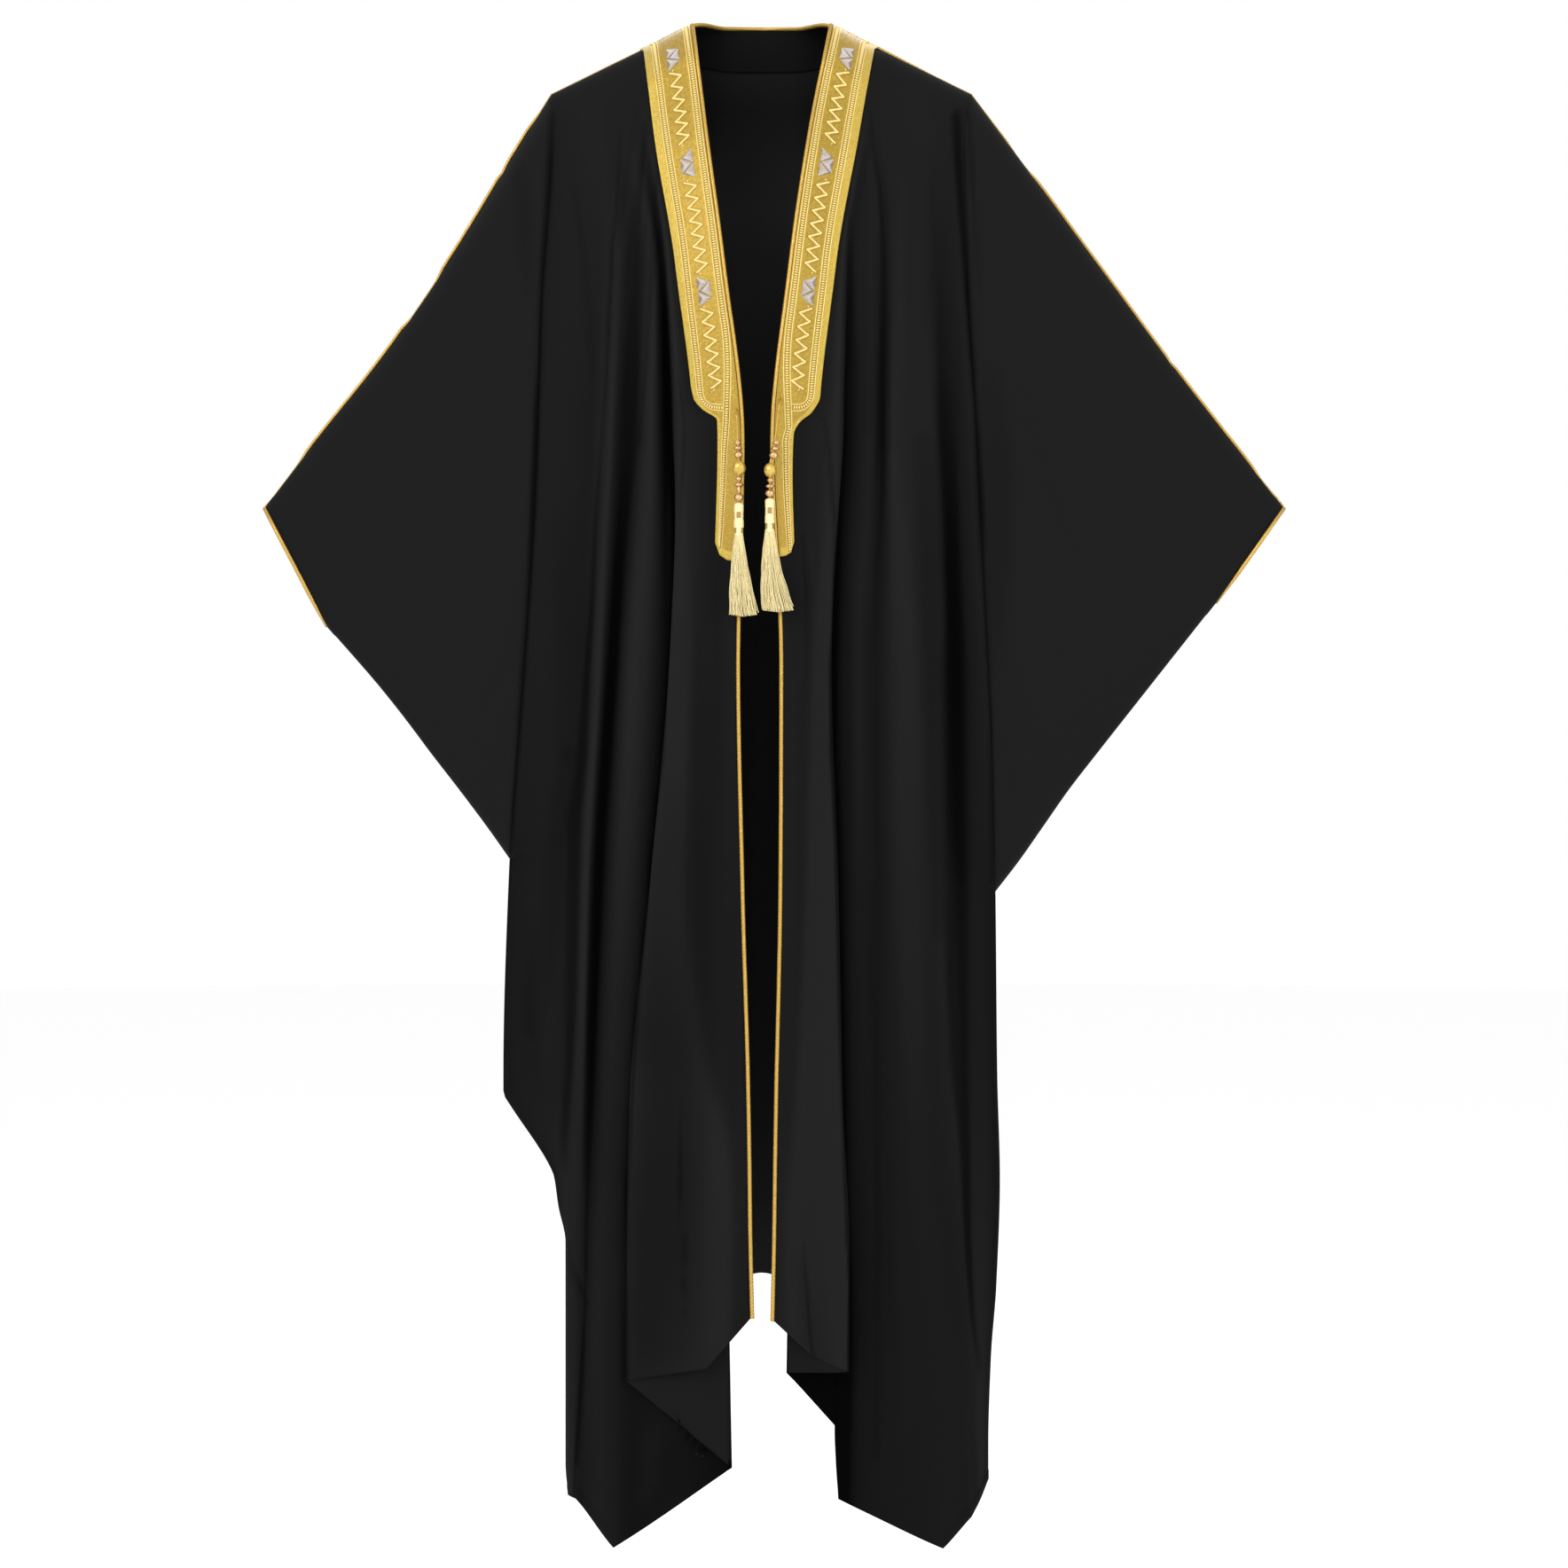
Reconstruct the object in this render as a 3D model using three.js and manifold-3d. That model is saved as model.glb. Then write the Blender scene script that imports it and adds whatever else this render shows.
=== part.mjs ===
// A bisht: a wide open cloak of thin black cloth, worn with both arms held a little out.
// Millimetres, +Z up, front towards -Y. The origin is the middle of the neck, level with its sides.
import * as THREE from 'three';
import { mergeVertices } from 'three/addons/utils/BufferGeometryUtils.js';
import Module from 'manifold-3d';

const wasm = await Module();
wasm.setup();

// ---- Driving sizes -------------------------------------------------------------------------

const clothThickness = 2.6;
const seamGap = 0.3;
const bandThickness = 1.2;
const facingThickness = 1;
const edgeCordRadius = 2.6;
const shoulderCordRadius = 2.2;

const neckHalfWidth = 80;
const neckDepth = 75;
const napeDrop = 5;
const shoulderTip = { left: -237, right: 236, z: -77 };
const ridgeRound = 46;
const armHalfDepth = 56;
const cuffHalfDepth = 34;
const underarmRound = 240;
const sleeveRings = 5;

// Widths and heights in the tables are sighted: they are where a fold lines up with the plane of
// the shoulders for an eye this far in front. realPlace brings a point to its own depth.
const eye = { x: 25, z: -854, distance: 3600 };

// The rows run from the shoulder ridge to the underarm, and from there to the hem.
const upperRows = [0, 0.012, 0.028, 0.05, 0.09, 0.15, 0.22, 0.3, 0.37, 0.4127, 0.4314, 0.4446,
  0.4577, 0.52, 0.59, 0.607, 0.629, 0.7, 0.78, 0.86, 0.93, 1];
const lowerRows = [0.09, 0.19, 0.28, 0.372, 0.43, 0.491, 0.56, 0.64, 0.74, 0.83, 0.91, 0.965, 1];
const straightFrom = 0.7; // of the way from the underarm, where the hem's straight lines begin
const facingRows = 3;

// Half depth of the cloak at its middle, by height.
const frontDepth = [[0, 58], [-50, 62], [-150, 92], [-300, 112], [-600, 118], [-940, 122],
  [-1300, 132], [-1720, 140]];
const backDepth = [[0, 60], [-50, 66], [-150, 95], [-300, 108], [-600, 110], [-940, 118],
  [-1300, 150], [-1450, 170], [-1720, 176]];

// Each fold of a front: where it leaves the shoulder, its x at each of foldLevels, how far it
// stands forward of the plain form, the same at the hem, its hem corner, and the steps to the next.
const foldLevels = [-120, -270, -470, -720, -970, -1220, -1370];
const leftFolds = [
  {
    name: 'edge', top: -80, forward: 6, hemForward: 6, hem: [-13, -1457], steps: 3,
    x: [-65, -45, -24, -29, -24, -17, -15],
  },
  {
    name: 'band', top: -136, forward: 2, hemForward: 0, hem: [-62, -1513], steps: 2,
    x: [-122, -98, -49, -64, -69, -87, -87],
  },
  {
    name: 'layer', top: -146, forward: 14, hemForward: 18, hem: [-153, -1527], steps: 3,
    x: [-129, -105, -94, -104, -126, -149, -152],
  },
  {
    name: 'turn', top: -154, forward: -16, hemForward: -18, hem: [-34, -1625], steps: 3,
    x: [-136, -112, -103, -84, -89, -66, -40],
  },
  {
    name: 'ridge', top: -168, forward: 10, hemForward: 12, hem: [-167, -1715], steps: 2,
    x: [-150, -123, -124, -144, -157, -169, -168],
  },
  {
    name: 'valley', top: -184, forward: -14, hemForward: -4, hem: [-209, -1660], steps: 2,
    x: [-166, -146, -153, -170, -186, -194, -196],
  },
  {
    name: 'rib', top: -200, forward: 8, hemForward: 0, hem: [-213, -1658], steps: 2,
    x: [-184, -165, -173, -183, -197, -203, -206],
  },
  {
    name: 'sideValley', top: -218, forward: -10, hemForward: -2, hem: [-217, -1656], steps: 2,
    x: [-208, -191, -199, -204, -214, -219, -217],
  },
];
const rightFolds = [
  {
    name: 'edge', top: 80, forward: 6, hemForward: 6, hem: [14, -1460], steps: 3,
    x: [56, 34, 14, 24, 23, 18, 16],
  },
  {
    name: 'band', top: 131, forward: 2, hemForward: 0, hem: [57, -1500], steps: 2,
    x: [110, 84, 36, 46, 46, 46, 47],
  },
  {
    name: 'layer', top: 140, forward: 14, hemForward: 18, hem: [98, -1517], steps: 3,
    x: [116, 91, 86, 78, 86, 91, 98],
  },
  {
    name: 'turn', top: 146, forward: -16, hemForward: -18, hem: [28, -1518], steps: 1,
    x: [122, 100, 94, 66, 56, 42, 31],
  },
  {
    name: 'under', top: 150, forward: -12, hemForward: -16, hem: [82, -1577], steps: 1,
    x: [127, 112, 108, 92, 88, 84, 80],
  },
  {
    name: 'step', top: 154, forward: -8, hemForward: -12, hem: [86, -1660], steps: 1,
    x: [131, 124, 122, 110, 106, 104, 98],
  },
  {
    name: 'crease', top: 162, forward: -8, hemForward: -8, hem: [129, -1681], steps: 2,
    x: [136, 137, 135, 126, 124, 126, 130],
  },
  {
    name: 'ridge', top: 182, forward: 12, hemForward: 10, hem: [204, -1716], steps: 2,
    x: [165, 152, 148, 156, 163, 171, 180],
  },
  {
    name: 'lip', top: 204, forward: 8, hemForward: 2, hem: [236, -1680], steps: 2,
    x: [188, 186, 190, 201, 205, 211, 217],
  },
  {
    name: 'valley', top: 216, forward: -22, hemForward: -2, hem: [245, -1662], steps: 2,
    x: [203, 204, 209, 219, 223, 229, 235],
  },
];

// The band's outer edge: as wide as this beyond the front edge, wide at the chest, then narrow.
const bandWidths = {
  left: [[0, 56], [-120, 57], [-270, 53], [-403, 53], [-420, 51], [-432, 42], [-444, 26],
    [-600, 27]],
  right: [[0, 51], [-120, 54], [-270, 50], [-417, 50], [-435, 42], [-447, 28], [-460, 22],
    [-600, 18]],
};
const bandReleased = { from: 600, to: 720 };
const bandRows = { left: 15, right: 14 };

// The side of the cloak: the armhole seam down to the underarm, and then the outline to the hem.
const sides = {
  left: {
    underarm: -938,
    line: [[-77, -237], [-170, -239], [-310, -249], [-505, -255], [-700, -267], [-938, -284],
      [-1180, -291], [-1203, -291], [-1210, -287], [-1286, -238], [-1296, -234], [-1330, -229],
      [-1370, -221], [-1620, -221], [-1655, -218]],
  },
  right: {
    underarm: -975,
    line: [[-77, 236], [-120, 229], [-280, 232], [-420, 240], [-680, 253], [-816, 260], [-975, 263],
      [-1180, 265], [-1300, 268], [-1420, 264], [-1500, 258], [-1600, 255], [-1637, 255]],
  },
};

// The sleeve's top and underside in front view, from the body to the cuff.
const sleeveLines = {
  left: {
    top: [[-237, -77], [-276, -140], [-324, -220], [-375, -300], [-432, -380], [-497, -461],
      [-559, -542]],
    under: [[-284, -938], [-311, -900], [-341, -860], [-372, -820], [-402, -780], [-434, -740],
      [-489, -677]],
  },
  right: {
    top: [[236, -77], [283, -140], [342, -220], [401, -300], [460, -380], [523, -461], [587, -542]],
    under: [[263, -975], [290, -940], [318, -900], [346, -860], [377, -820], [440, -740],
      [511, -650]],
  },
};

// The back, from left to right: where each line leaves the top, its x at the hem and its fold.
const backLines = [
  { top: -196, low: -206, forward: 9, steps: 2 },
  { top: -166, low: -168, forward: -8, steps: 1 },
  { top: -136, low: -140, forward: 4, steps: 1 },
  { top: -80, low: -88, forward: -6, steps: 2 },
  { top: -40, low: -44, forward: 6, steps: 1 },
  { top: 0, low: 0, forward: -4, steps: 1 },
  { top: 40, low: 46, forward: 6, steps: 2 },
  { top: 80, low: 90, forward: -5, steps: 1 },
  { top: 131, low: 146, forward: 6, steps: 1 },
  { top: 162, low: 180, forward: -8, steps: 1 },
  { top: 196, low: 222, forward: 9, steps: 2 },
];
const backHem = [[-218, -1655], [-150, -1560], [0, -1405], [150, -1545], [255, -1637]];

// What hangs from each band, from the top down, with x and heights sighted.
const cordRadius = 1.2;
const hangClear = 8.2;
const hangings = {
  left: {
    row: 12, x: -26, headTop: -537, skirtEnd: -665, lean: 5,
    beads: [
      { name: 'upper', z: -483, width: 8, height: 7 },
      { name: 'large', z: -498, width: 14, height: 16.5 },
      { name: 'lower', z: -531, width: 10, height: 8.5 },
    ],
  },
  right: {
    row: 10, x: 9, headTop: -532, skirtEnd: -660, lean: 6,
    beads: [
      { name: 'upper', z: -483, width: 9, height: 8 },
      { name: 'large', z: -500, width: 13, height: 15 },
      { name: 'lower', z: -526, width: 9, height: 8 },
    ],
  },
};
const tasselHead = [[0, 0], [3.2, -0.8], [5.2, -4], [4.7, -9], [5.4, -13], [4.7, -18], [5.4, -23],
  [4.9, -30], [5.5, -36], [0, -36]];
const tasselStrands = 32;
const strandRadius = 0.75;
const skirt = { halfWidth: 15.5, halfDepth: 6 };
const waist = { halfWidth: 8, halfDepth: 5.2, down: 0.35 };
const goldenAngle = Math.PI * (3 - Math.sqrt(5));

const colours = {
  cloth: 0x202020,
  zari: 0xd9b03f,
  cord: 0xc9962f,
  tassel: 0xe0c464,
};

// ---- Curves through short tables -----------------------------------------------------------

const lerp = (a, b, t) => a + (b - a) * t;
const clamp01 = (t) => Math.min(Math.max(t, 0), 1);
const smooth = (from, to, value) => {
  const t = clamp01((value - from) / (to - from));
  return t * t * (3 - 2 * t);
};
const quarterRound = (t) => Math.sqrt(1 - (1 - clamp01(t)) ** 2);

// A smooth curve through [height, value] rows that never overshoots them.
function readTable(rows, height) {
  const sorted = rows[0][0] < rows.at(-1)[0] ? rows : [...rows].reverse();
  const last = sorted.length - 1;
  if (height <= sorted[0][0]) return sorted[0][1];
  if (height >= sorted[last][0]) return sorted[last][1];
  const slope = (k) => (sorted[k + 1][1] - sorted[k][1]) / (sorted[k + 1][0] - sorted[k][0]);
  const tangent = (k) => {
    if (k === 0) return slope(0);
    if (k === last) return slope(last - 1);
    const before = slope(k - 1);
    const after = slope(k);
    return before * after <= 0 ? 0 : (2 * before * after) / (before + after);
  };
  const k = sorted.findIndex((row, i) => i < last && height < sorted[i + 1][0]);
  const span = sorted[k + 1][0] - sorted[k][0];
  const t = (height - sorted[k][0]) / span;
  const rise = t * t * (3 - 2 * t);
  return sorted[k][1] * (1 - rise) + sorted[k + 1][1] * rise
    + span * t * (1 - t) * (tangent(k) * (1 - t) - tangent(k + 1) * t);
}

const realPlace = (x, y, z) => {
  const near = (eye.distance + y) / eye.distance;
  return new THREE.Vector3(eye.x + (x - eye.x) * near, y, eye.z + (z - eye.z) * near);
};
const onRidge = (x) => {
  const tip = x < 0 ? shoulderTip.left : shoulderTip.right;
  return shoulderTip.z * clamp01((Math.abs(x) - neckHalfWidth) / (Math.abs(tip) - neckHalfWidth));
};
const ontoRidge = (p) => (
  Math.abs(p.x) < neckHalfWidth - 0.01 ? p : new THREE.Vector3(p.x, 0, onRidge(p.x)));

// How far the plain form stands from the middle plane at a sighted x, height and drop.
function plainDepth(side, depths, x, z, drop) {
  const above = (z - side.underarm) / underarmRound;
  const seam = z > side.underarm ? armHalfDepth * quarterRound(above) : 0;
  const power = 0.45 + 0.45 * clamp01(above);
  const across = clamp01(Math.abs(x / readTable(side.line, z)));
  const middle = readTable(depths, z);
  return (seam + (middle - seam) * (1 - across ** 2.2) ** power) * quarterRound(drop / ridgeRound);
}

// ---- Grids of points -----------------------------------------------------------------------

const rowCount = upperRows.length + lowerRows.length;
const rowHeight = (row, top, underarm, hem) => {
  if (row < upperRows.length) return lerp(top, underarm, upperRows[row]);
  return lerp(underarm, hem, lowerRows[row - upperRows.length]);
};

// A row of points: a smooth curve through its named places, with each fold's own steps. Seen from
// the front the curve may be drawn towards straight lines, as a hem runs between its corners.
function spread(places, steps, straight = 0) {
  const curve = new THREE.CatmullRomCurve3(places, false, 'centripetal');
  const points = [];
  steps.forEach((count, k) => {
    for (let s = 0; s < count; s += 1) {
      const point = curve.getPoint((k + s / count) / steps.length);
      const chord = places[k].clone().lerp(places[k + 1], s / count);
      points.push(point.lerp(chord.setY(point.y), straight));
    }
  });
  return [...points, places.at(-1).clone()];
}

function frontGrid(sideName, folds) {
  const side = sides[sideName];
  const sign = sideName === 'left' ? -1 : 1;
  const edge = folds[0];
  const lines = folds.map((fold) => [
    [onRidge(fold.top), fold.top],
    ...foldLevels.map((level, k) => [level, fold.x[k]]),
    [fold.hem[1], fold.hem[0]],
  ]);
  const placeOf = (k, row) => {
    const fold = folds[k];
    const top = onRidge(fold.top);
    const z = rowHeight(row, top, side.underarm, fold.hem[1]);
    const width = readTable(bandWidths[sideName], z);
    const held = fold.name === 'band' ? 1 - smooth(bandReleased.from, bandReleased.to, -z) : 0;
    const free = readTable(lines[k], z);
    const x = held > 0 ? lerp(free, readTable(lines[0], z) + sign * width, held) : free;
    const drop = top - z;
    const stand = lerp(fold.forward, fold.hemForward, smooth(1000, -edge.hem[1], -z)) * smooth(30, 420, drop);
    const y = -plainDepth(side, frontDepth, x, z, drop) - stand;
    return row === 0 ? realPlace(fold.top, 0, top) : realPlace(x, y, z);
  };
  const steps = folds.map((fold) => fold.steps);
  return Array.from({ length: rowCount }, (_, row) => {
    const places = folds.map((fold, k) => placeOf(k, row));
    places.push(sidePlace(sideName, row, -1));
    return spread(places, steps, smooth(straightFrom, 1, lowerRows[row - upperRows.length] ?? 0));
  });
}

// A point of the side line: front is -1 and back is 1. Below the underarm both meet.
function sidePlace(sideName, row, facing) {
  const side = sides[sideName];
  const [hemHeight] = side.line.at(-1);
  const z = rowHeight(row, shoulderTip.z, side.underarm, hemHeight);
  const drop = shoulderTip.z - z;
  const x = readTable(side.line, z);
  return realPlace(x, facing * plainDepth(side, frontDepth, x, z, drop), z);
}

function backGrid() {
  const steps = [2, ...backLines.map((line) => line.steps)];
  return Array.from({ length: rowCount }, (_, row) => {
    const places = backLines.map((line) => {
      const side = line.top < 0 ? sides.left : sides.right;
      const inNeck = Math.sqrt(1 - clamp01(Math.abs(line.top) / neckHalfWidth) ** 2);
      const top = onRidge(line.top) - napeDrop * inNeck;
      const underarm = lerp(sides.left.underarm, sides.right.underarm, (line.top + 237) / 473);
      const z = rowHeight(row, top, underarm, readTable(backHem, line.low));
      const x = lerp(line.top, line.low, smooth(0, 1300, -z));
      const drop = top - z;
      const stand = line.forward * smooth(60, 700, drop);
      const plain = plainDepth(side, backDepth, x, z, drop);
      const yoke = lerp(neckDepth * inNeck, plain, smooth(0, 220, drop));
      return realPlace(x, lerp(plain, yoke, inNeck) + stand, z);
    });
    places.unshift(sidePlace('left', row, 1));
    places.push(sidePlace('right', row, 1));
    const points = spread(places, steps);
    return row === 0 ? points.map(ontoRidge) : points;
  });
}

// Rings round the sleeve, from the armhole to the cuff: down its front and up its back.
function sleeveGrid(sideName) {
  const lines = sleeveLines[sideName];
  const along = (line, t) => {
    const places = line.map(([x, z]) => new THREE.Vector3(x, 0, z));
    return new THREE.CatmullRomCurve3(places, false, 'centripetal').getPoint(t);
  };
  const half = upperRows.length - 1;
  const rings = [];
  for (let ring = 0; ring <= sleeveRings; ring += 1) {
    const t = ring / sleeveRings;
    const top = along(lines.top, t);
    const under = along(lines.under, t);
    const length = top.distanceTo(under);
    const depth = lerp(armHalfDepth, cuffHalfDepth, t);
    const bottomRound = Math.min(underarmRound, 0.45 * length);
    const points = [];
    for (let k = 0; k < 2 * half; k += 1) {
      const row = k <= half ? k : 2 * half - k;
      const facing = k <= half ? -1 : 1;
      const v = upperRows[row];
      const seam = readTable(sides[sideName].line, lerp(shoulderTip.z, sides[sideName].underarm, v));
      const bow = (seam - lerp(lines.top[0][0], lines.under[0][0], v)) * (1 - t) ** 2;
      const y = depth * quarterRound((v * length) / ridgeRound)
        * quarterRound(((1 - v) * length) / bottomRound);
      points.push(ring === 0
        ? sidePlace(sideName, row, facing)
        : realPlace(lerp(top.x, under.x, v) + bow, facing * y, lerp(top.z, under.z, v)));
    }
    rings.push(points);
  }
  return rings;
}

// ---- Cloth walls ---------------------------------------------------------------------------

// A patch of cloth: its points in a flat list, its cells, and the side of them that faces out.
function makePatch(grid, turned, closed = false) {
  const width = grid[0].length;
  const columns = closed ? width : width - 1;
  const corner = (i, j) => i * width + (j % width);
  const cell = (i, j) => {
    const [a, b, c, d] = [corner(i, j), corner(i, j + 1), corner(i + 1, j), corner(i + 1, j + 1)];
    return turned ? [[a, c, b], [b, c, d]] : [[a, b, c], [b, d, c]];
  };
  const triangles = [];
  for (let i = 0; i < grid.length - 1; i += 1) {
    for (let j = 0; j < columns; j += 1) triangles.push(...cell(i, j));
  }
  return { grid, width, columns, cell, corner, triangles, points: grid.flat() };
}

const keyOf = (p) => [p.x, p.y, p.z].map((v) => Math.round(v * 50)).join(',');

// Normals that agree where two patches share a point, so that their walls meet squarely.
function giveNormals(patches) {
  const sums = new Map();
  const faceNormal = new THREE.Vector3();
  patches.forEach(({ points, triangles }) => triangles.forEach((triangle) => {
    const [a, b, c] = triangle.map((k) => points[k]);
    faceNormal.subVectors(b, a).cross(new THREE.Vector3().subVectors(c, a));
    triangle.forEach((k) => {
      const key = keyOf(points[k]);
      if (!sums.has(key)) sums.set(key, new THREE.Vector3());
      sums.get(key).add(faceNormal);
    });
  }));
  patches.forEach((patch) => {
    patch.normals = patch.points.map((p) => {
      const away = Math.abs(p.x);
      const ridge = Math.abs(p.y) < 0.01 && away > neckHalfWidth - 0.01 && p.z > shoulderTip.z - 0.01;
      if (!ridge) return sums.get(keyOf(p)).clone().normalize();
      const tip = p.x < 0 ? shoulderTip.left : shoulderTip.right;
      const run = Math.abs(tip) - neckHalfWidth;
      return new THREE.Vector3(-shoulderTip.z * Math.sign(tip), 0, run).normalize();
    });
  });
}

// Draws one edge of a patch back from its seam, by half the gap.
function drawBack(patch, edge, from) {
  edge.forEach((k, n) => {
    const pull = new THREE.Vector3().subVectors(patch.points[from[n]], patch.points[k]);
    patch.moved[k].addScaledVector(pull.normalize(), seamGap / 2);
  });
}

// A closed wall on some triangles of a patch, between two distances from the middle of the cloth.
function makeWall(patch, triangles, outer, inner) {
  const used = [...new Set(triangles.flat())];
  const index = new Map(used.map((k, n) => [k, n]));
  const count = used.length;
  const place = (k, away) => patch.moved[k].clone().addScaledVector(patch.normals[k], away);
  const vertices = [...used.map((k) => place(k, outer)), ...used.map((k) => place(k, inner))];
  const faces = [];
  const edges = new Set(triangles.flatMap(([a, b, c]) => [`${a} ${b}`, `${b} ${c}`, `${c} ${a}`]));
  triangles.forEach((triangle) => {
    const [a, b, c] = triangle.map((k) => index.get(k));
    faces.push([a, b, c], [c + count, b + count, a + count]);
    [[0, 1], [1, 2], [2, 0]].forEach(([m, n]) => {
      if (edges.has(`${triangle[n]} ${triangle[m]}`)) return;
      const from = index.get(triangle[m]);
      const to = index.get(triangle[n]);
      // Both walls at a seam split its edge the same way: from the lower end of the inner face.
      if (patch.points[triangle[m]].z < patch.points[triangle[n]].z) {
        faces.push([to, from, from + count], [to, from + count, to + count]);
      } else {
        faces.push([to, from, to + count], [from, from + count, to + count]);
      }
    });
  });
  return closedGeometry(vertices, faces);
}

function closedGeometry(vertices, faces) {
  const geometry = new THREE.BufferGeometry();
  const numbers = vertices.flatMap((v) => v.toArray());
  geometry.setAttribute('position', new THREE.Float32BufferAttribute(numbers, 3));
  geometry.setIndex(faces.flat());
  return geometry;
}

const leftFront = makePatch(frontGrid('left', leftFolds), false);
const rightFront = makePatch(frontGrid('right', rightFolds), true);
const back = makePatch(backGrid(), false);
const leftSleeve = makePatch(sleeveGrid('left'), true, true);
const rightSleeve = makePatch(sleeveGrid('right'), false, true);
const patches = [leftFront, rightFront, back, leftSleeve, rightSleeve];
giveNormals(patches);
patches.forEach((patch) => {
  patch.moved = patch.points.map((p) => p.clone());
});

// ---- Cords ----------------------------------------------------------------------------------

// A round cord through its centres, open with two caps or closed on itself.
function sweep(centres, aways, radius, closed = false, sidesRound = 6) {
  const count = centres.length;
  const vertices = [];
  centres.forEach((centre, k) => {
    const before = centres[closed ? (k + count - 1) % count : Math.max(k - 1, 0)];
    const after = centres[closed ? (k + 1) % count : Math.min(k + 1, count - 1)];
    const forward = new THREE.Vector3().subVectors(after, before).normalize();
    const up = aways[k].clone().addScaledVector(forward, -aways[k].dot(forward)).normalize();
    const across = new THREE.Vector3().crossVectors(forward, up);
    for (let s = 0; s < sidesRound; s += 1) {
      const angle = ((s + 0.5) / sidesRound) * 2 * Math.PI;
      vertices.push(centre.clone()
        .addScaledVector(up, radius * Math.cos(angle))
        .addScaledVector(across, radius * Math.sin(angle)));
    }
  });
  const faces = [];
  const at = (k, s) => (k % count) * sidesRound + (s % sidesRound);
  for (let k = 0; k < (closed ? count : count - 1); k += 1) {
    for (let s = 0; s < sidesRound; s += 1) {
      faces.push([at(k, s), at(k, s + 1), at(k + 1, s)], [at(k, s + 1), at(k + 1, s + 1), at(k + 1, s)]);
    }
  }
  const end = count - 1;
  for (let s = 1; s < sidesRound - 1 && !closed; s += 1) {
    faces.push([at(0, 0), at(0, s + 1), at(0, s)], [at(end, 0), at(end, s), at(end, s + 1)]);
  }
  return closedGeometry(vertices, faces);
}

// A cord beside the raw edge of a patch: edge and inner are matching points along it.
function edgeCord(patch, edge, inner, closed = false, trim = 1) {
  const away = edge.map((k, n) => new THREE.Vector3().subVectors(patch.points[k], patch.points[inner[n]]));
  const count = edge.length;
  const centres = edge.map((k, n) => {
    const before = patch.points[edge[closed ? (n + count - 1) % count : Math.max(n - 1, 0)]];
    const after = patch.points[edge[closed ? (n + 1) % count : Math.min(n + 1, count - 1)]];
    const forward = new THREE.Vector3().subVectors(after, before).normalize();
    away[n].addScaledVector(forward, -away[n].dot(forward)).normalize();
    return patch.points[k].clone().addScaledVector(away[n], edgeCordRadius + seamGap);
  });
  if (!closed) {
    centres[0].lerp(centres[1], trim / centres[0].distanceTo(centres[1]));
    centres[count - 1].lerp(centres[count - 2], trim / centres[count - 1].distanceTo(centres[count - 2]));
  }
  return sweep(centres, away, edgeCordRadius, closed);
}

const rowOf = (patch, row, from = 0, to = patch.width) => (
  Array.from({ length: to - from }, (_, j) => patch.corner(row, from + j)));
const columnOf = (patch, column) => patch.grid.map((_, row) => patch.corner(row, column));

const neckStart = 2 + backLines.slice(0, 3).reduce((sum, line) => sum + line.steps, 0);
const neckEnd = neckStart + backLines.slice(3, 7).reduce((sum, line) => sum + line.steps, 0);
[leftFront, rightFront].forEach((front) => {
  drawBack(front, rowOf(front, 0), rowOf(front, 1));
  drawBack(front, columnOf(front, front.width - 1), columnOf(front, front.width - 2));
});
drawBack(back, rowOf(back, 0, 0, neckStart + 1), rowOf(back, 1, 0, neckStart + 1));
drawBack(back, rowOf(back, 0, neckEnd, back.width), rowOf(back, 1, neckEnd, back.width));
drawBack(back, columnOf(back, 0), columnOf(back, 1));
drawBack(back, columnOf(back, back.width - 1), columnOf(back, back.width - 2));
[leftSleeve, rightSleeve].forEach((sleeve) => drawBack(sleeve, rowOf(sleeve, 0), rowOf(sleeve, 1)));

// ---- Pieces ---------------------------------------------------------------------------------

const bisht = new THREE.Group();
const finishes = {
  cloth: { color: colours.cloth, roughness: 0.85, metalness: 0 },
  zari: { color: colours.zari, roughness: 0.45, metalness: 0.6 },
  cord: { color: colours.cord, roughness: 0.4, metalness: 0.7 },
  tassel: { color: colours.tassel, roughness: 0.4, metalness: 0.5 },
};

function addPiece(name, geometry, finish) {
  const piece = new THREE.Mesh(geometry, new THREE.MeshStandardMaterial(finishes[finish]));
  piece.name = name;
  bisht.add(piece);
  return piece;
}

const halfCloth = clothThickness / 2;
[['front_panel_left', leftFront], ['front_panel_right', rightFront], ['back_panel', back],
  ['sleeve_left', leftSleeve], ['sleeve_right', rightSleeve]].forEach(([name, patch]) => {
  addPiece(name, makeWall(patch, patch.triangles, halfCloth, -halfCloth), 'cloth');
});

// A front band covers the three columns beside the front edge, and its lower corner is cut off.
const bandBase = halfCloth + seamGap;
const bandColumns = leftFolds[0].steps;
function frontBand(patch, fullRows) {
  const triangles = [];
  for (let i = 0; i < fullRows; i += 1) {
    for (let j = 0; j < bandColumns; j += 1) triangles.push(...patch.cell(i, j));
  }
  for (let j = 0; j < bandColumns - 1; j += 1) triangles.push(...patch.cell(fullRows, j));
  triangles.push(patch.cell(fullRows, bandColumns - 1)[0]);
  return makeWall(patch, triangles, bandBase + bandThickness, bandBase);
}
addPiece('zari_band_left', frontBand(leftFront, bandRows.left), 'zari');
addPiece('zari_band_right', frontBand(rightFront, bandRows.right), 'zari');

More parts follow.
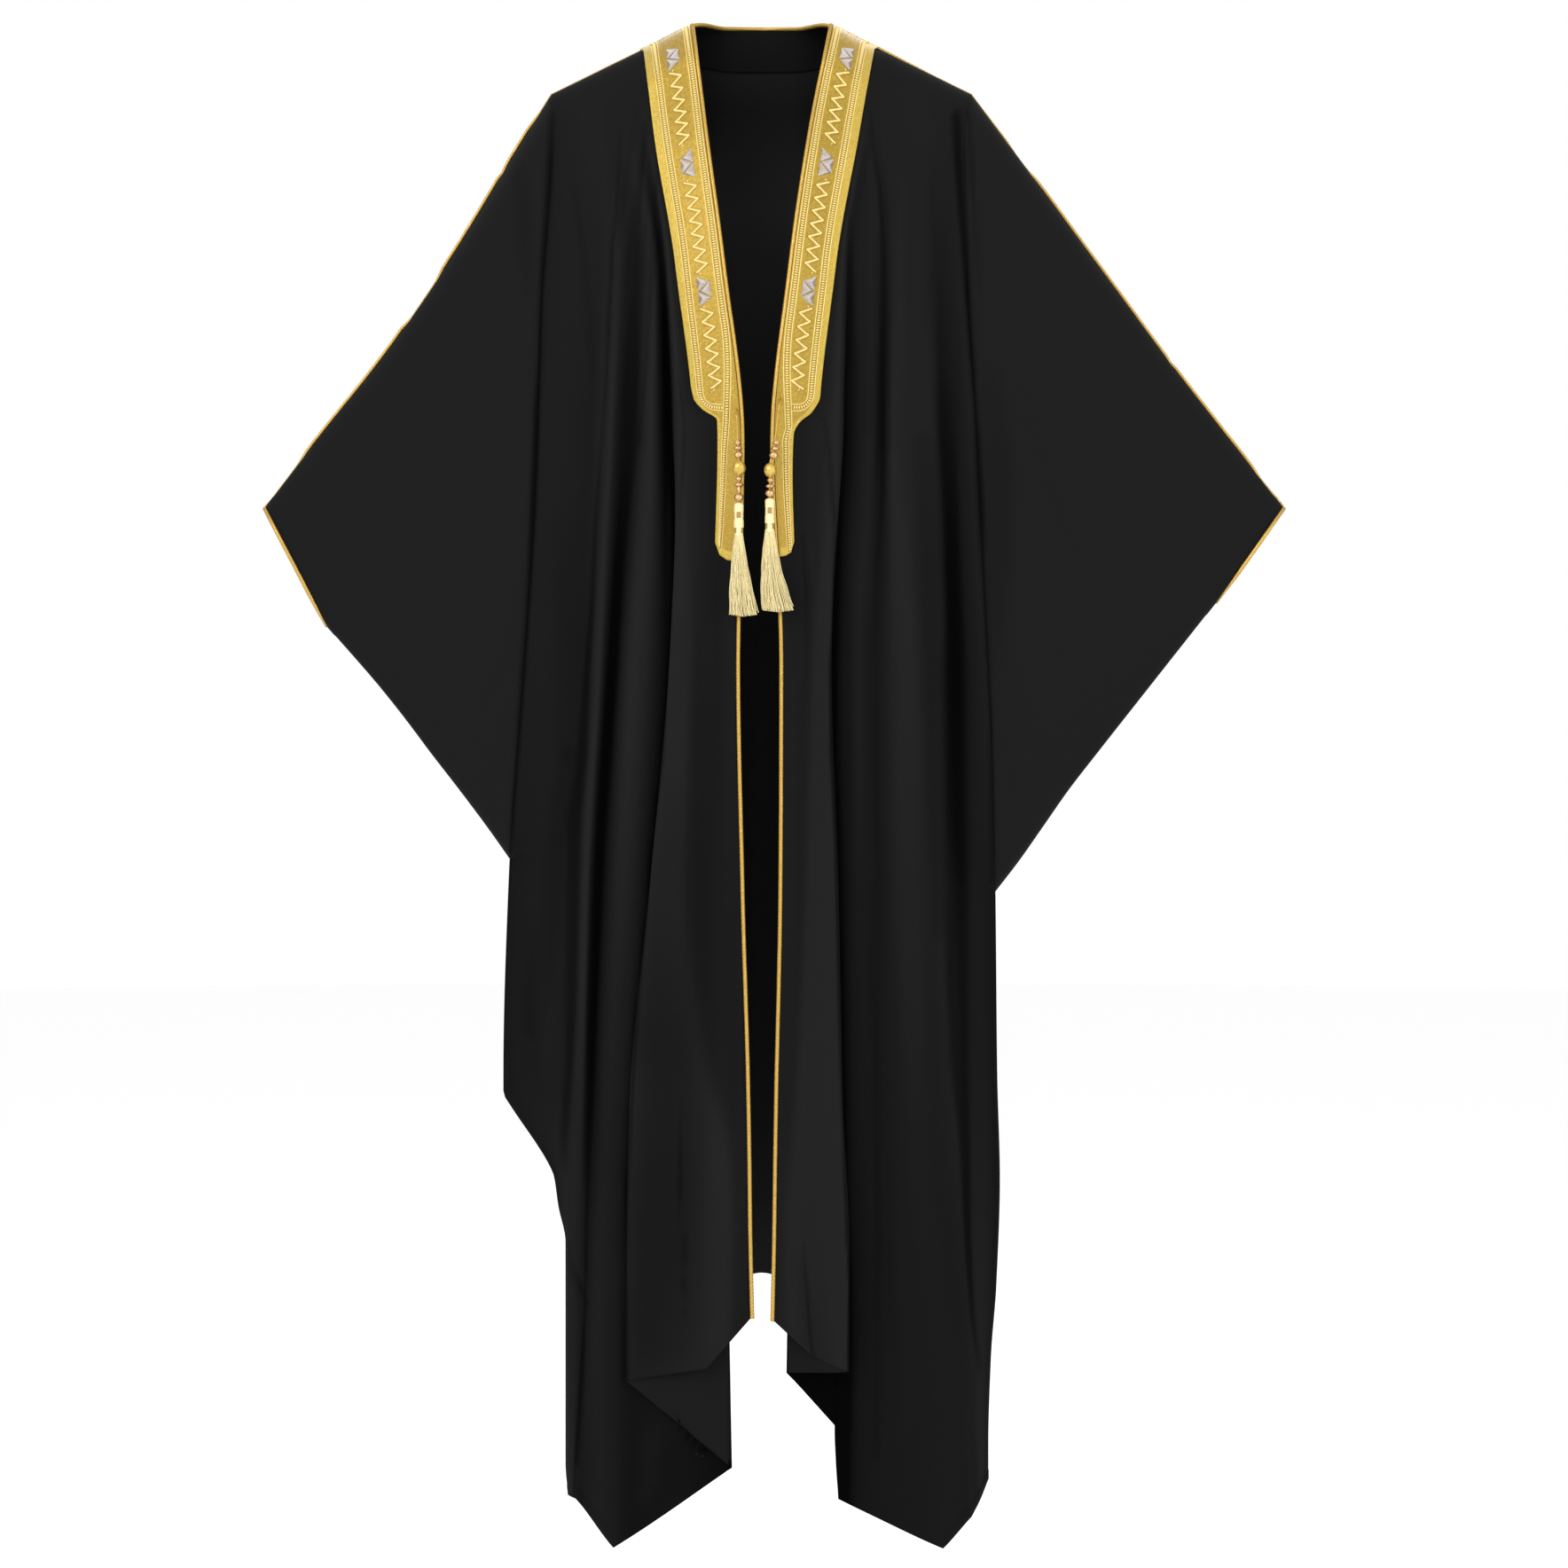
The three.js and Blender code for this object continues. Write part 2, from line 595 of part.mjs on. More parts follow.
// The same band goes on round the back of the neck, and a plain facing lines it inside.
function neckStrip(from, to) {
  const triangles = [];
  for (let i = 0; i < facingRows; i += 1) {
    for (let j = from; j < to; j += 1) triangles.push(...back.cell(i, j));
  }
  return triangles;
}
const bandStart = neckStart - backLines[2].steps;
const bandEnd = neckEnd + backLines[7].steps;
const backBand = makeWall(back, neckStrip(bandStart, bandEnd), bandBase + bandThickness, bandBase);
addPiece('zari_band_back', backBand, 'zari');
const facing = makeWall(back, neckStrip(neckStart, neckEnd), -bandBase, -bandBase - facingThickness);
addPiece('neck_facing', facing, 'cloth');

// Gold cord finishes the fronts, the neck, the cuffs, and the shoulder and sleeve tops.
[['left', leftFront], ['right', rightFront]].forEach(([sideName, front]) => {
  addPiece(`front_cord_${sideName}`, edgeCord(front, columnOf(front, 0), columnOf(front, 1)), 'cord');
});
const neckInner = rowOf(back, 1, neckStart, neckEnd + 1);
neckInner[0] = back.corner(0, neckStart - 1);
neckInner[neckInner.length - 1] = back.corner(0, neckEnd + 1);
addPiece('neck_cord', edgeCord(back, rowOf(back, 0, neckStart, neckEnd + 1), neckInner, false, 3.4), 'cord');

[['left', leftFront, leftSleeve], ['right', rightFront, rightSleeve]].forEach(([sideName, front, sleeve]) => {
  const seam = rowOf(front, 0, bandColumns, front.width).map((k) => [front, k]);
  const top = sleeve.grid.slice(1).map((_, ring) => [sleeve, sleeve.corner(ring + 1, 0)]);
  const lift = halfCloth + seamGap + shoulderCordRadius;
  const run = [...seam, ...top];
  const aways = run.map(([patch, k]) => patch.normals[k]);
  const centres = run.map(([patch, k]) => patch.points[k].clone().addScaledVector(patch.normals[k], lift));
  centres[0].lerp(centres[1], 0.3);
  centres.at(-1).lerp(centres.at(-2), 0.05);
  addPiece(`shoulder_cord_${sideName}`, sweep(centres, aways, shoulderCordRadius), 'cord');
  const cuff = rowOf(sleeve, sleeveRings);
  addPiece(`cuff_cord_${sideName}`, edgeCord(sleeve, cuff, rowOf(sleeve, sleeveRings - 1), true), 'cord');
});

// A tassel: a bound head with the roots of its strands fused into it.
function solidOf(geometry) {
  const bare = geometry.clone();
  bare.deleteAttribute('normal');
  bare.deleteAttribute('uv');
  const merged = mergeVertices(bare, 1e-4);
  return new wasm.Manifold(new wasm.Mesh({
    numProp: 3,
    vertProperties: new Float32Array(merged.attributes.position.array),
    triVerts: new Uint32Array(merged.index.array),
  }));
}

function turned(profile, segments) {
  const lathe = new THREE.LatheGeometry(profile.map(([r, z]) => new THREE.Vector2(r, z)), segments);
  return lathe.rotateX(Math.PI / 2);
}

function tassel(length, lean) {
  const headEnd = tasselHead.at(-1)[1];
  let solid = solidOf(turned([...tasselHead].reverse(), 10));
  for (let k = 0; k < tasselStrands; k += 1) {
    const spreadOut = Math.sqrt((k + 0.5) / tasselStrands);
    const angle = k * goldenAngle;
    const levels = [
      { z: headEnd + 2, x: 4.5, y: 4.5, lean: 0 },
      { z: lerp(headEnd, -length, waist.down), x: waist.halfWidth, y: waist.halfDepth, lean: lean * 0.3 },
      { z: -length + 3 * ((k * 0.37) % 1), x: skirt.halfWidth, y: skirt.halfDepth, lean },
    ];
    const centres = levels.map((level) => new THREE.Vector3(
      level.lean + level.x * spreadOut * Math.cos(angle),
      level.y * spreadOut * Math.sin(angle),
      level.z,
    ));
    const aways = centres.map(() => new THREE.Vector3(Math.cos(angle), Math.sin(angle), 0));
    solid = solid.add(solidOf(sweep(centres, aways, strandRadius, false, 3)));
  }
  const mesh = solid.getMesh();
  const geometry = new THREE.BufferGeometry();
  geometry.setAttribute('position', new THREE.Float32BufferAttribute(mesh.vertProperties, 3));
  geometry.setIndex([...mesh.triVerts]);
  return geometry;
}

// A bead with its bore: a bulging ring.
function bead({ width, height }) {
  const bore = cordRadius + seamGap;
  const bulge = [-1, -0.72, 0, 0.72, 1].map((t) => (
    [Math.max((width / 2) * Math.sqrt(1 - t * t), bore + 0.8), (t * height) / 2]));
  const profile = [[bore, height / 2], [bore, -height / 2], ...bulge, [bore, height / 2]];
  return turned(profile, 12);
}

[['left', leftFront], ['right', rightFront]].forEach(([sideName, front]) => {
  const hanging = hangings[sideName];
  const chest = Math.min(...front.grid.slice(8, bandRows[sideName] + 2).flatMap((row) => (
    row.slice(0, bandColumns).map((p) => p.y))));
  const hangY = chest - bandBase - bandThickness - hangClear;
  const out = front.normals[front.corner(hanging.row, 0)];
  const seat = front.moved[front.corner(hanging.row, 0)].clone()
    .lerp(front.moved[front.corner(hanging.row, 1)], 0.3)
    .addScaledVector(out, bandBase + bandThickness + seamGap);
  const top = realPlace(hanging.x, hangY, hanging.headTop);
  const end = realPlace(hanging.x, hangY, hanging.skirtEnd);
  const hung = (down, across) => (
    new THREE.Vector3(lerp(seat.x, top.x, across), hangY, lerp(seat.z, top.z, down)));
  const route = [
    seat, seat.clone().addScaledVector(out, 3), seat.clone().addScaledVector(out, 6).setZ(seat.z - 3),
    hung(0.08, 0.1), hung(0.2, 0.6), hung(0.34, 1), hung(0.5, 1), hung(0.65, 1), hung(0.8, 1), top.clone(),
  ];
  const cord = new THREE.ExtrudeGeometry(new THREE.Shape().absarc(0, 0, cordRadius, 0, 2 * Math.PI), {
    steps: 18, curveSegments: 4, bevelEnabled: false, extrudePath: new THREE.CatmullRomCurve3(route),
  });
  addPiece(`tassel_cord_${sideName}`, cord, 'cord');
  hanging.beads.forEach((size) => {
    const threaded = addPiece(`bead_${size.name}_${sideName}`, bead(size), 'cord');
    threaded.position.copy(realPlace(hanging.x, hangY, size.z));
  });
  top.z -= seamGap;
  addPiece(`tassel_${sideName}`, tassel(top.z - end.z, hanging.lean), 'tassel').position.copy(top);
});

export default bisht;
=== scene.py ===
import math

import bpy
import numpy as np
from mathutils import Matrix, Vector


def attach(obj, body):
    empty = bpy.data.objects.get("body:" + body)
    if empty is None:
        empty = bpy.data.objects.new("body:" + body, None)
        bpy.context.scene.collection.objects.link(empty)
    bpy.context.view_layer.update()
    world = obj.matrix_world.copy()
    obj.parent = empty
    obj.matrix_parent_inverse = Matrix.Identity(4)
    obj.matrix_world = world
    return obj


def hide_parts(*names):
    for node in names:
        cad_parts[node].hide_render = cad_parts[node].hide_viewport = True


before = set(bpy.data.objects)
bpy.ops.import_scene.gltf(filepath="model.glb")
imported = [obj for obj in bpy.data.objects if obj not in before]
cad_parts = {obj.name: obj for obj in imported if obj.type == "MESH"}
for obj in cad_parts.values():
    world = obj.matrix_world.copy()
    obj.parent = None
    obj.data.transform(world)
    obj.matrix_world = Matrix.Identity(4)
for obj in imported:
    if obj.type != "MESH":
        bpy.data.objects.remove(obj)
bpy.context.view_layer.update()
scene = bpy.context.scene
rng = np.random.default_rng(11)

# lengths in the dictionaries are millimetres, and become metres as a mesh is made
eye = {"x": 25, "z": -854, "distance": 3600}  # where the folds are sighted from
shot = {"frameWidth": 1768, "sensor": 36}
camera = bpy.data.objects.new("camera", bpy.data.cameras.new("camera"))
scene.collection.objects.link(camera)
camera.location = (eye["x"] / 1000, -eye["distance"] / 1000, eye["z"] / 1000)
camera.rotation_euler = (math.pi / 2, 0, 0)
camera.data.sensor_width = shot["sensor"]
camera.data.lens = shot["sensor"] * eye["distance"] / shot["frameWidth"]
camera.data.clip_end = 100
scene.camera = camera
scene.view_settings.view_transform = "Standard"

studio = {
    "floorHeight": -1.95, "floorRadius": 14, "floorSides": 96, "floorColour": 0.98, "floorRoughness": 0.9,
    "world": 1.0, "aim": (0, 0, -0.8),
    "key": {"place": (-2.2, -3.4, 1.6), "size": 2.2, "power": 60},
    "fill": {"place": (2.8, -3.0, 0.2), "size": 2.6, "power": 30},
    "rim": {"place": (0.4, 3.2, 1.4), "size": 2.4, "power": 40},
}


def setStudio():
    world = bpy.data.worlds.new("studio")
    world.use_nodes = True
    sky = world.node_tree.nodes["Background"]
    sky.inputs["Color"].default_value = (1, 1, 1, 1)
    sky.inputs["Strength"].default_value = studio["world"]
    scene.world = world
    bpy.ops.mesh.primitive_circle_add(vertices=studio["floorSides"], radius=studio["floorRadius"],
                                      fill_type="NGON", location=(0, 0, studio["floorHeight"]))
    floor = bpy.context.object
    floor.name = "floor"
    pale = bpy.data.materials.new("paleFloor")
    pale.use_nodes = True
    paint = pale.node_tree.nodes["Principled BSDF"]
    paint.inputs["Base Color"].default_value = (*[studio["floorColour"]] * 3, 1)
    paint.inputs["Roughness"].default_value = studio["floorRoughness"]
    floor.data.materials.append(pale)
    for name in ("key", "fill", "rim"):
        lamp = studio[name]
        light = bpy.data.objects.new(name, bpy.data.lights.new(name, "AREA"))
        scene.collection.objects.link(light)
        light.location = lamp["place"]
        light.data.size = lamp["size"]
        light.data.energy = lamp["power"]
        aim = Vector(studio["aim"]) - Vector(lamp["place"])
        light.rotation_euler = aim.to_track_quat("-Z", "Y").to_euler()


setStudio()
print("studio ready")


class Value:
    # a socket that adds its Math nodes as it is calculated with

    def __init__(self, shader, socket):
        self.shader = shader
        self.socket = socket

    def reckon(self, operation, *others):
        return self.shader.node("ShaderNodeMath", {"operation": operation}, others)

    def __sub__(self, other):
        return self.reckon("SUBTRACT", self, other)

    def __rsub__(self, other):
        return self.reckon("SUBTRACT", other, self)

    def __mul__(self, other):
        return self.reckon("MULTIPLY", self, other)

    def __rmul__(self, other):
        return self.reckon("MULTIPLY", other, self)


class Shader:
    # a material with its Principled shader, and one method for every other node

    def __init__(self, name):
        self.material = bpy.data.materials.new(name)
        self.material.use_nodes = True
        self.tree = self.material.node_tree
        self.surface = self.tree.nodes["Principled BSDF"]

    def node(self, kind, settings=None, inputs=(), output=0):
        made = self.tree.nodes.new(kind)
        for name, setting in (settings or {}).items():
            setattr(made, name, setting)
        pairs = inputs.items() if isinstance(inputs, dict) else enumerate(inputs)
        for name, given in pairs:
            self.put(made.inputs[name], given)
        return Value(self, made.outputs[output])

    def put(self, socket, given):
        if isinstance(given, Value):
            self.tree.links.new(given.socket, socket)
        elif isinstance(given, (tuple, list)) and len(given) == 3 and socket.type == "RGBA":
            socket.default_value = (*given, 1)
        else:
            socket.default_value = given

    def set(self, **inputs):
        for name, given in inputs.items():
            words = "".join(" " + letter if letter.isupper() else letter for letter in name)
            self.put(self.surface.inputs[words[0].upper() + words[1:]], given)

    def mix(self, factor, first, second):
        return self.node("ShaderNodeMix", {"data_type": "RGBA"}, {0: factor, 6: first, 7: second}, 2)

    def place(self):
        return self.node("ShaderNodeTexCoord", output="Object")

    def noise(self, scale, detail):
        inputs = {"Vector": self.place(), "Scale": scale, "Detail": detail}
        return self.node("ShaderNodeTexNoise", inputs=inputs)

    def bump(self, height, strength, distance):
        inputs = {"Height": height, "Strength": strength, "Distance": distance}
        return self.node("ShaderNodeBump", inputs=inputs)


def lerp(a, b, t):
    return a + (b - a) * t


def smooth(start, end, value):
    t = np.clip((value - start) / (end - start), 0, 1)
    return t * t * (3 - 2 * t)


def quarterRound(t):
    return np.sqrt(1 - (1 - np.clip(t, 0, 1)) ** 2)


def unit(vectors):
    return vectors / np.maximum(np.linalg.norm(vectors, axis=-1, keepdims=True), 1e-9)


def readTable(rows, height):
    # a smooth curve through (height, value) rows that never overshoots them
    heights, values = np.array(sorted(rows), float).T
    slope = np.diff(values) / np.diff(heights)
    before, after = slope[:-1], slope[1:]
    total = np.where(before * after > 0, before + after, 1)
    between = np.where(before * after > 0, 2 * before * after / total, 0)
    tangent = np.concatenate([slope[:1], between, slope[-1:]])
    height = np.clip(height, heights[0], heights[-1])
    k = np.clip(np.searchsorted(heights, height, side="right") - 1, 0, len(slope) - 1)
    span = heights[k + 1] - heights[k]
    t = (height - heights[k]) / span
    rise = t * t * (3 - 2 * t)
    return (values[k] * (1 - rise) + values[k + 1] * rise
            + span * t * (1 - t) * (tangent[k] * (1 - t) - tangent[k + 1] * t))


def curveThrough(places, stops):
    # rows of places, each joined by a centripetal curve that is read at (segment, fraction) stops
    first = 2 * places[:, :1] - places[:, 1:2]
    last = 2 * places[:, -1:] - places[:, -2:-1]
    p = np.concatenate([first, places, last], axis=1)
    gap = np.sqrt(np.linalg.norm(np.diff(p, axis=1), axis=2))[..., None]
    out = []
    for k, f in stops:
        a, b, c, d = (p[:, k + n] for n in range(4))
        middle = np.where(gap[:, k + 1] < 1e-4, 1, gap[:, k + 1])
        before = np.where(gap[:, k] < 1e-4, middle, gap[:, k])
        after = np.where(gap[:, k + 2] < 1e-4, middle, gap[:, k + 2])
        leaving = ((b - a) / before - (c - a) / (before + middle) + (c - b) / middle) * middle
        arriving = ((c - b) / middle - (d - b) / (middle + after) + (d - c) / after) * middle
        out.append(b + leaving * f + (3 * (c - b) - 2 * leaving - arriving) * f ** 2
                   + (2 * (b - c) + leaving + arriving) * f ** 3)
    return np.stack(out, axis=1)


def evenStops(steps):
    stops = [(k, s / count) for k, count in enumerate(steps) for s in range(count)]
    return stops + [(len(steps) - 1, 1.0)]


def chain(count, closed=False):
    edges = [(k, k + 1) for k in range(count - 1)]
    return edges + [(count - 1, 0)] if closed else edges


def evenPath(points, pitch, closed=False):
    if closed:
        points = np.concatenate([points, points[:1]])
    total = np.concatenate([[0], np.cumsum(np.linalg.norm(np.diff(points, axis=0), axis=1))])
    wanted = np.linspace(0, total[-1], max(int(total[-1] / pitch), 4))
    path = np.stack([np.interp(wanted, total, points[:, k]) for k in range(3)], axis=-1)
    return (path[:-1] if closed else path), total[-1]


def realPlace(x, y, z):
    near = (eye["distance"] + y) / eye["distance"]
    parts = (eye["x"] + (x - eye["x"]) * near, y, eye["z"] + (z - eye["z"]) * near)
    return np.stack(np.broadcast_arrays(*parts), axis=-1).astype(float)


def sighted(points):
    near = (eye["distance"] + points[..., 1]) / eye["distance"]
    return eye["x"] + (points[..., 0] - eye["x"]) / near, eye["z"] + (points[..., 2] - eye["z"]) / near


cloak = {
    "neckHalfWidth": 80, "neckDepth": 75, "napeDrop": 5, "ridgeRound": 46,
    "shoulderLeft": -237, "shoulderRight": 236, "shoulderHeight": -77,
    "armHalfDepth": 56, "cuffHalfDepth": 34, "underarmRound": 240, "thickness": 1.0,
    "sectionPower": 0.45, "sectionFullness": 2.2,  # how round the body is across, from front to side
    "standFrom": 30, "standTo": 420, "hemStandFrom": 1000,  # how far down the folds come to stand out
    "backFrom": 60, "backTo": 700, "spreadTo": 1300, "yokeTo": 220, "sleeveRound": 0.45,
    "frontDepth": [(0, 58), (-50, 62), (-150, 92), (-300, 112), (-600, 118), (-940, 122), (-1300, 132),
                   (-1720, 140)],
    "backDepth": [(0, 60), (-50, 66), (-150, 95), (-300, 108), (-600, 110), (-940, 118), (-1300, 150),
                  (-1450, 170), (-1720, 176)],
}
foldLevels = (-120, -270, -470, -720, -970, -1220, -1370)
# each fold: its top, its x at every level, how far forward it stands, the same at the hem, its hem corner
folds = {
    "left": {
        "edge": (-80, (-65, -45, -24, -29, -24, -17, -15), 6, 6, (-13, -1457)),
        "band": (-136, (-122, -98, -49, -64, -69, -87, -87), 2, 0, (-62, -1513)),
        "layer": (-146, (-129, -105, -94, -104, -126, -149, -152), 14, 18, (-153, -1527)),
        "turn": (-154, (-136, -112, -103, -84, -89, -66, -40), -16, -18, (-34, -1625)),
        "ridge": (-168, (-150, -123, -124, -144, -157, -169, -168), 10, 12, (-167, -1715)),
        "valley": (-184, (-166, -146, -153, -170, -186, -194, -196), -14, -4, (-209, -1660)),
        "rib": (-200, (-184, -165, -173, -183, -197, -203, -206), 8, 0, (-213, -1658)),
        "sideValley": (-218, (-208, -191, -199, -204, -214, -219, -217), -10, -2, (-217, -1656)),
    },
    "right": {
        "edge": (80, (56, 34, 14, 24, 23, 18, 16), 6, 6, (14, -1460)),
        "band": (131, (110, 84, 36, 46, 46, 46, 47), 2, 0, (57, -1500)),
        "layer": (140, (116, 91, 86, 78, 86, 91, 98), 14, 18, (98, -1517)),
        "turn": (146, (122, 100, 94, 66, 56, 42, 31), -16, -18, (28, -1518)),
        "under": (150, (127, 112, 108, 92, 88, 84, 80), -12, -16, (82, -1577)),
        "step": (154, (131, 124, 122, 110, 106, 104, 98), -8, -12, (86, -1660)),
        "crease": (162, (136, 137, 135, 126, 124, 126, 130), -8, -8, (129, -1681)),
        "ridge": (182, (165, 152, 148, 156, 163, 171, 180), 12, 10, (204, -1716)),
        "lip": (204, (188, 186, 190, 201, 205, 211, 217), 8, 2, (236, -1680)),
        "valley": (216, (203, 204, 209, 219, 223, 229, 235), -22, -2, (245, -1662)),
    },
}
foldSteps = {
    "left": (12, 14, 16, 18, 10, 9, 9, 12),
    "right": (12, 13, 16, 8, 8, 8, 10, 10, 8, 10),
}
sides = {
    "left": {"underarm": -938, "line": [
        (-77, -237), (-170, -239), (-310, -249), (-505, -255), (-700, -267), (-938, -284), (-1180, -291),
        (-1203, -291), (-1210, -287), (-1286, -238), (-1296, -234), (-1330, -229), (-1370, -221), (-1620, -221),
        (-1655, -218)]},
    "right": {"underarm": -975, "line": [
        (-77, 236), (-120, 229), (-280, 232), (-420, 240), (-680, 253), (-816, 260), (-975, 263),
        (-1180, 265), (-1300, 268), (-1420, 264), (-1500, 258), (-1600, 255), (-1637, 255)]},
}
sleeveLines = {
    "left": {
        "top": [(-237, -77), (-276, -140), (-324, -220), (-375, -300), (-432, -380), (-497, -461), (-559, -542)],
        "under": [(-284, -938), (-311, -900), (-341, -860), (-372, -820), (-402, -780), (-434, -740),
                  (-489, -677)]},
    "right": {
        "top": [(236, -77), (283, -140), (342, -220), (401, -300), (460, -380), (523, -461), (587, -542)],
        "under": [(263, -975), (290, -940), (318, -900), (346, -860), (377, -820), (440, -740), (511, -650)]},
}
# each line of the back: where it leaves the top, its x at the hem, how far it stands out
backLines = ((-196, -206, 9), (-166, -168, -8), (-136, -140, 4), (-80, -88, -6), (-40, -44, 6), (0, 0, -4),
             (40, 46, 6), (80, 90, -5), (131, 146, 6), (162, 180, -8), (196, 222, 9))
backHem = [(-218, -1655), (-150, -1560), (0, -1405), (150, -1545), (255, -1637)]
backSteps = (12, 10, 10, 18, 14, 14, 14, 14, 16, 10, 10, 12)
bandWidths = {
    "left": [(0, 56), (-120, 57), (-270, 53), (-403, 53), (-420, 51), (-432, 42), (-444, 26), (-600, 27)],
    "right": [(0, 51), (-120, 54), (-270, 50), (-417, 50), (-435, 42), (-447, 28), (-460, 22), (-600, 18)],
}
foldHeld = {"from": 600, "to": 720}  # the band's fold follows the front edge down to here
straightHem = {"from": 1.7, "to": 2}  # the rows where the hem's straight lines begin and end
upperRows = np.concatenate([0.05 * np.linspace(0, 1, 12) ** 2, np.linspace(0.05, 1, 124)[1:]])
lowerRows = np.concatenate([np.linspace(1, 1.984, 98)[1:], [1.9855, 1.99, 1.995, 2]])
allRows = np.concatenate([upperRows, lowerRows])  # 0 at the shoulder ridge, 1 at the underarm, 2 at the hem


def onRidge(x):
    tip = np.where(np.asarray(x) < 0, -cloak["shoulderLeft"], cloak["shoulderRight"])
    run = (np.abs(x) - cloak["neckHalfWidth"]) / (tip - cloak["neckHalfWidth"])
    return cloak["shoulderHeight"] * np.clip(run, 0, 1)


def rowHeight(rows, top, underarm, hem):
    return np.where(rows <= 1, lerp(top, underarm, rows), lerp(underarm, hem, rows - 1))


def plainDepth(side, depths, x, z, drop):
    above = (z - side["underarm"]) / cloak["underarmRound"]
    seam = np.where(z > side["underarm"], cloak["armHalfDepth"] * quarterRound(above), 0)
    power = cloak["sectionPower"] + cloak["sectionPower"] * np.clip(above, 0, 1)
    across = np.clip(np.abs(x / readTable(side["line"], z)), 0, 1)
    middle = readTable(depths, z)
    rounding = quarterRound(drop / cloak["ridgeRound"])
    return (seam + (middle - seam) * (1 - across ** cloak["sectionFullness"]) ** power) * rounding


def sidePlaces(sideName, rows, facing):
    side = sides[sideName]
    z = rowHeight(rows, cloak["shoulderHeight"], side["underarm"], side["line"][-1][0])
    x = readTable(side["line"], z)
    y = facing * plainDepth(side, cloak["frontDepth"], x, z, cloak["shoulderHeight"] - z)
    return realPlace(x, y, z)


def foldPlaces(sideName, name, rows):
    side = sides[sideName]
    top, xs, forward, hemForward, hem = folds[sideName][name]
    edgeTop, edgeXs, *_, edgeHem = folds[sideName]["edge"]
    z = rowHeight(rows, onRidge(top), side["underarm"], hem[1])
    x = readTable([(float(onRidge(top)), top), *zip(foldLevels, xs), (hem[1], hem[0])], z)
    if name == "band":
        edge = readTable([(float(onRidge(edgeTop)), edgeTop), *zip(foldLevels, edgeXs),
                          (edgeHem[1], edgeHem[0])], z)
        held = 1 - smooth(foldHeld["from"], foldHeld["to"], -z)
        width = readTable(bandWidths[sideName], z)
        x = np.where(held > 0, lerp(x, edge + math.copysign(1, top) * width, held), x)
    x = np.where(rows == 0, top, x)
    drop = onRidge(top) - z
    stand = lerp(forward, hemForward, smooth(cloak["hemStandFrom"], -edgeHem[1], -z))
    stand = stand * smooth(cloak["standFrom"], cloak["standTo"], drop)
    y = -plainDepth(side, cloak["frontDepth"], x, z, drop) - stand
    return realPlace(x, np.where(rows == 0, 0, y), z)


def frontSurface(sideName, rows, stops):
    # towards the hem the rows are drawn to straight lines between the folds, as seen from the front
    places = [foldPlaces(sideName, name, rows) for name in folds[sideName]]
    places.append(sidePlaces(sideName, rows, -1))
    places = np.stack(places, axis=1)
    grid = curveThrough(places, stops)
    chords = np.stack([lerp(places[:, k], places[:, k + 1], f) for k, f in stops], axis=1)
    straight = smooth(straightHem["from"], straightHem["to"], rows)[:, None]
    for axis in (0, 2):
        grid[..., axis] = lerp(grid[..., axis], chords[..., axis], straight)
    return grid


def backSurface(rows, stops):
    places = [sidePlaces("left", rows, 1)]
    for top, low, forward in backLines:
        side = sides["left" if top < 0 else "right"]
        inNeck = math.sqrt(1 - min(abs(top) / cloak["neckHalfWidth"], 1) ** 2)
        start = onRidge(top) - cloak["napeDrop"] * inNeck
        across = (top - cloak["shoulderLeft"]) / (cloak["shoulderRight"] - cloak["shoulderLeft"])
        underarm = lerp(sides["left"]["underarm"], sides["right"]["underarm"], across)
        z = rowHeight(rows, start, underarm, readTable(backHem, low))
        x = lerp(top, low, smooth(0, cloak["spreadTo"], -z))
        plain = plainDepth(side, cloak["backDepth"], x, z, start - z)
        yoke = lerp(cloak["neckDepth"] * inNeck, plain, smooth(0, cloak["yokeTo"], start - z))
        stand = forward * smooth(cloak["backFrom"], cloak["backTo"], start - z)
        places.append(realPlace(x, lerp(plain, yoke, inNeck) + stand, z))
    places.append(sidePlaces("right", rows, 1))
    grid = curveThrough(np.stack(places, axis=1), stops)
    outside = (rows == 0)[:, None] & (np.abs(grid[..., 0]) >= cloak["neckHalfWidth"] - 0.01)
    onto = np.stack([grid[..., 0], 0 * grid[..., 0], onRidge(grid[..., 0])], axis=-1)
    return np.where(outside[..., None], onto, grid)


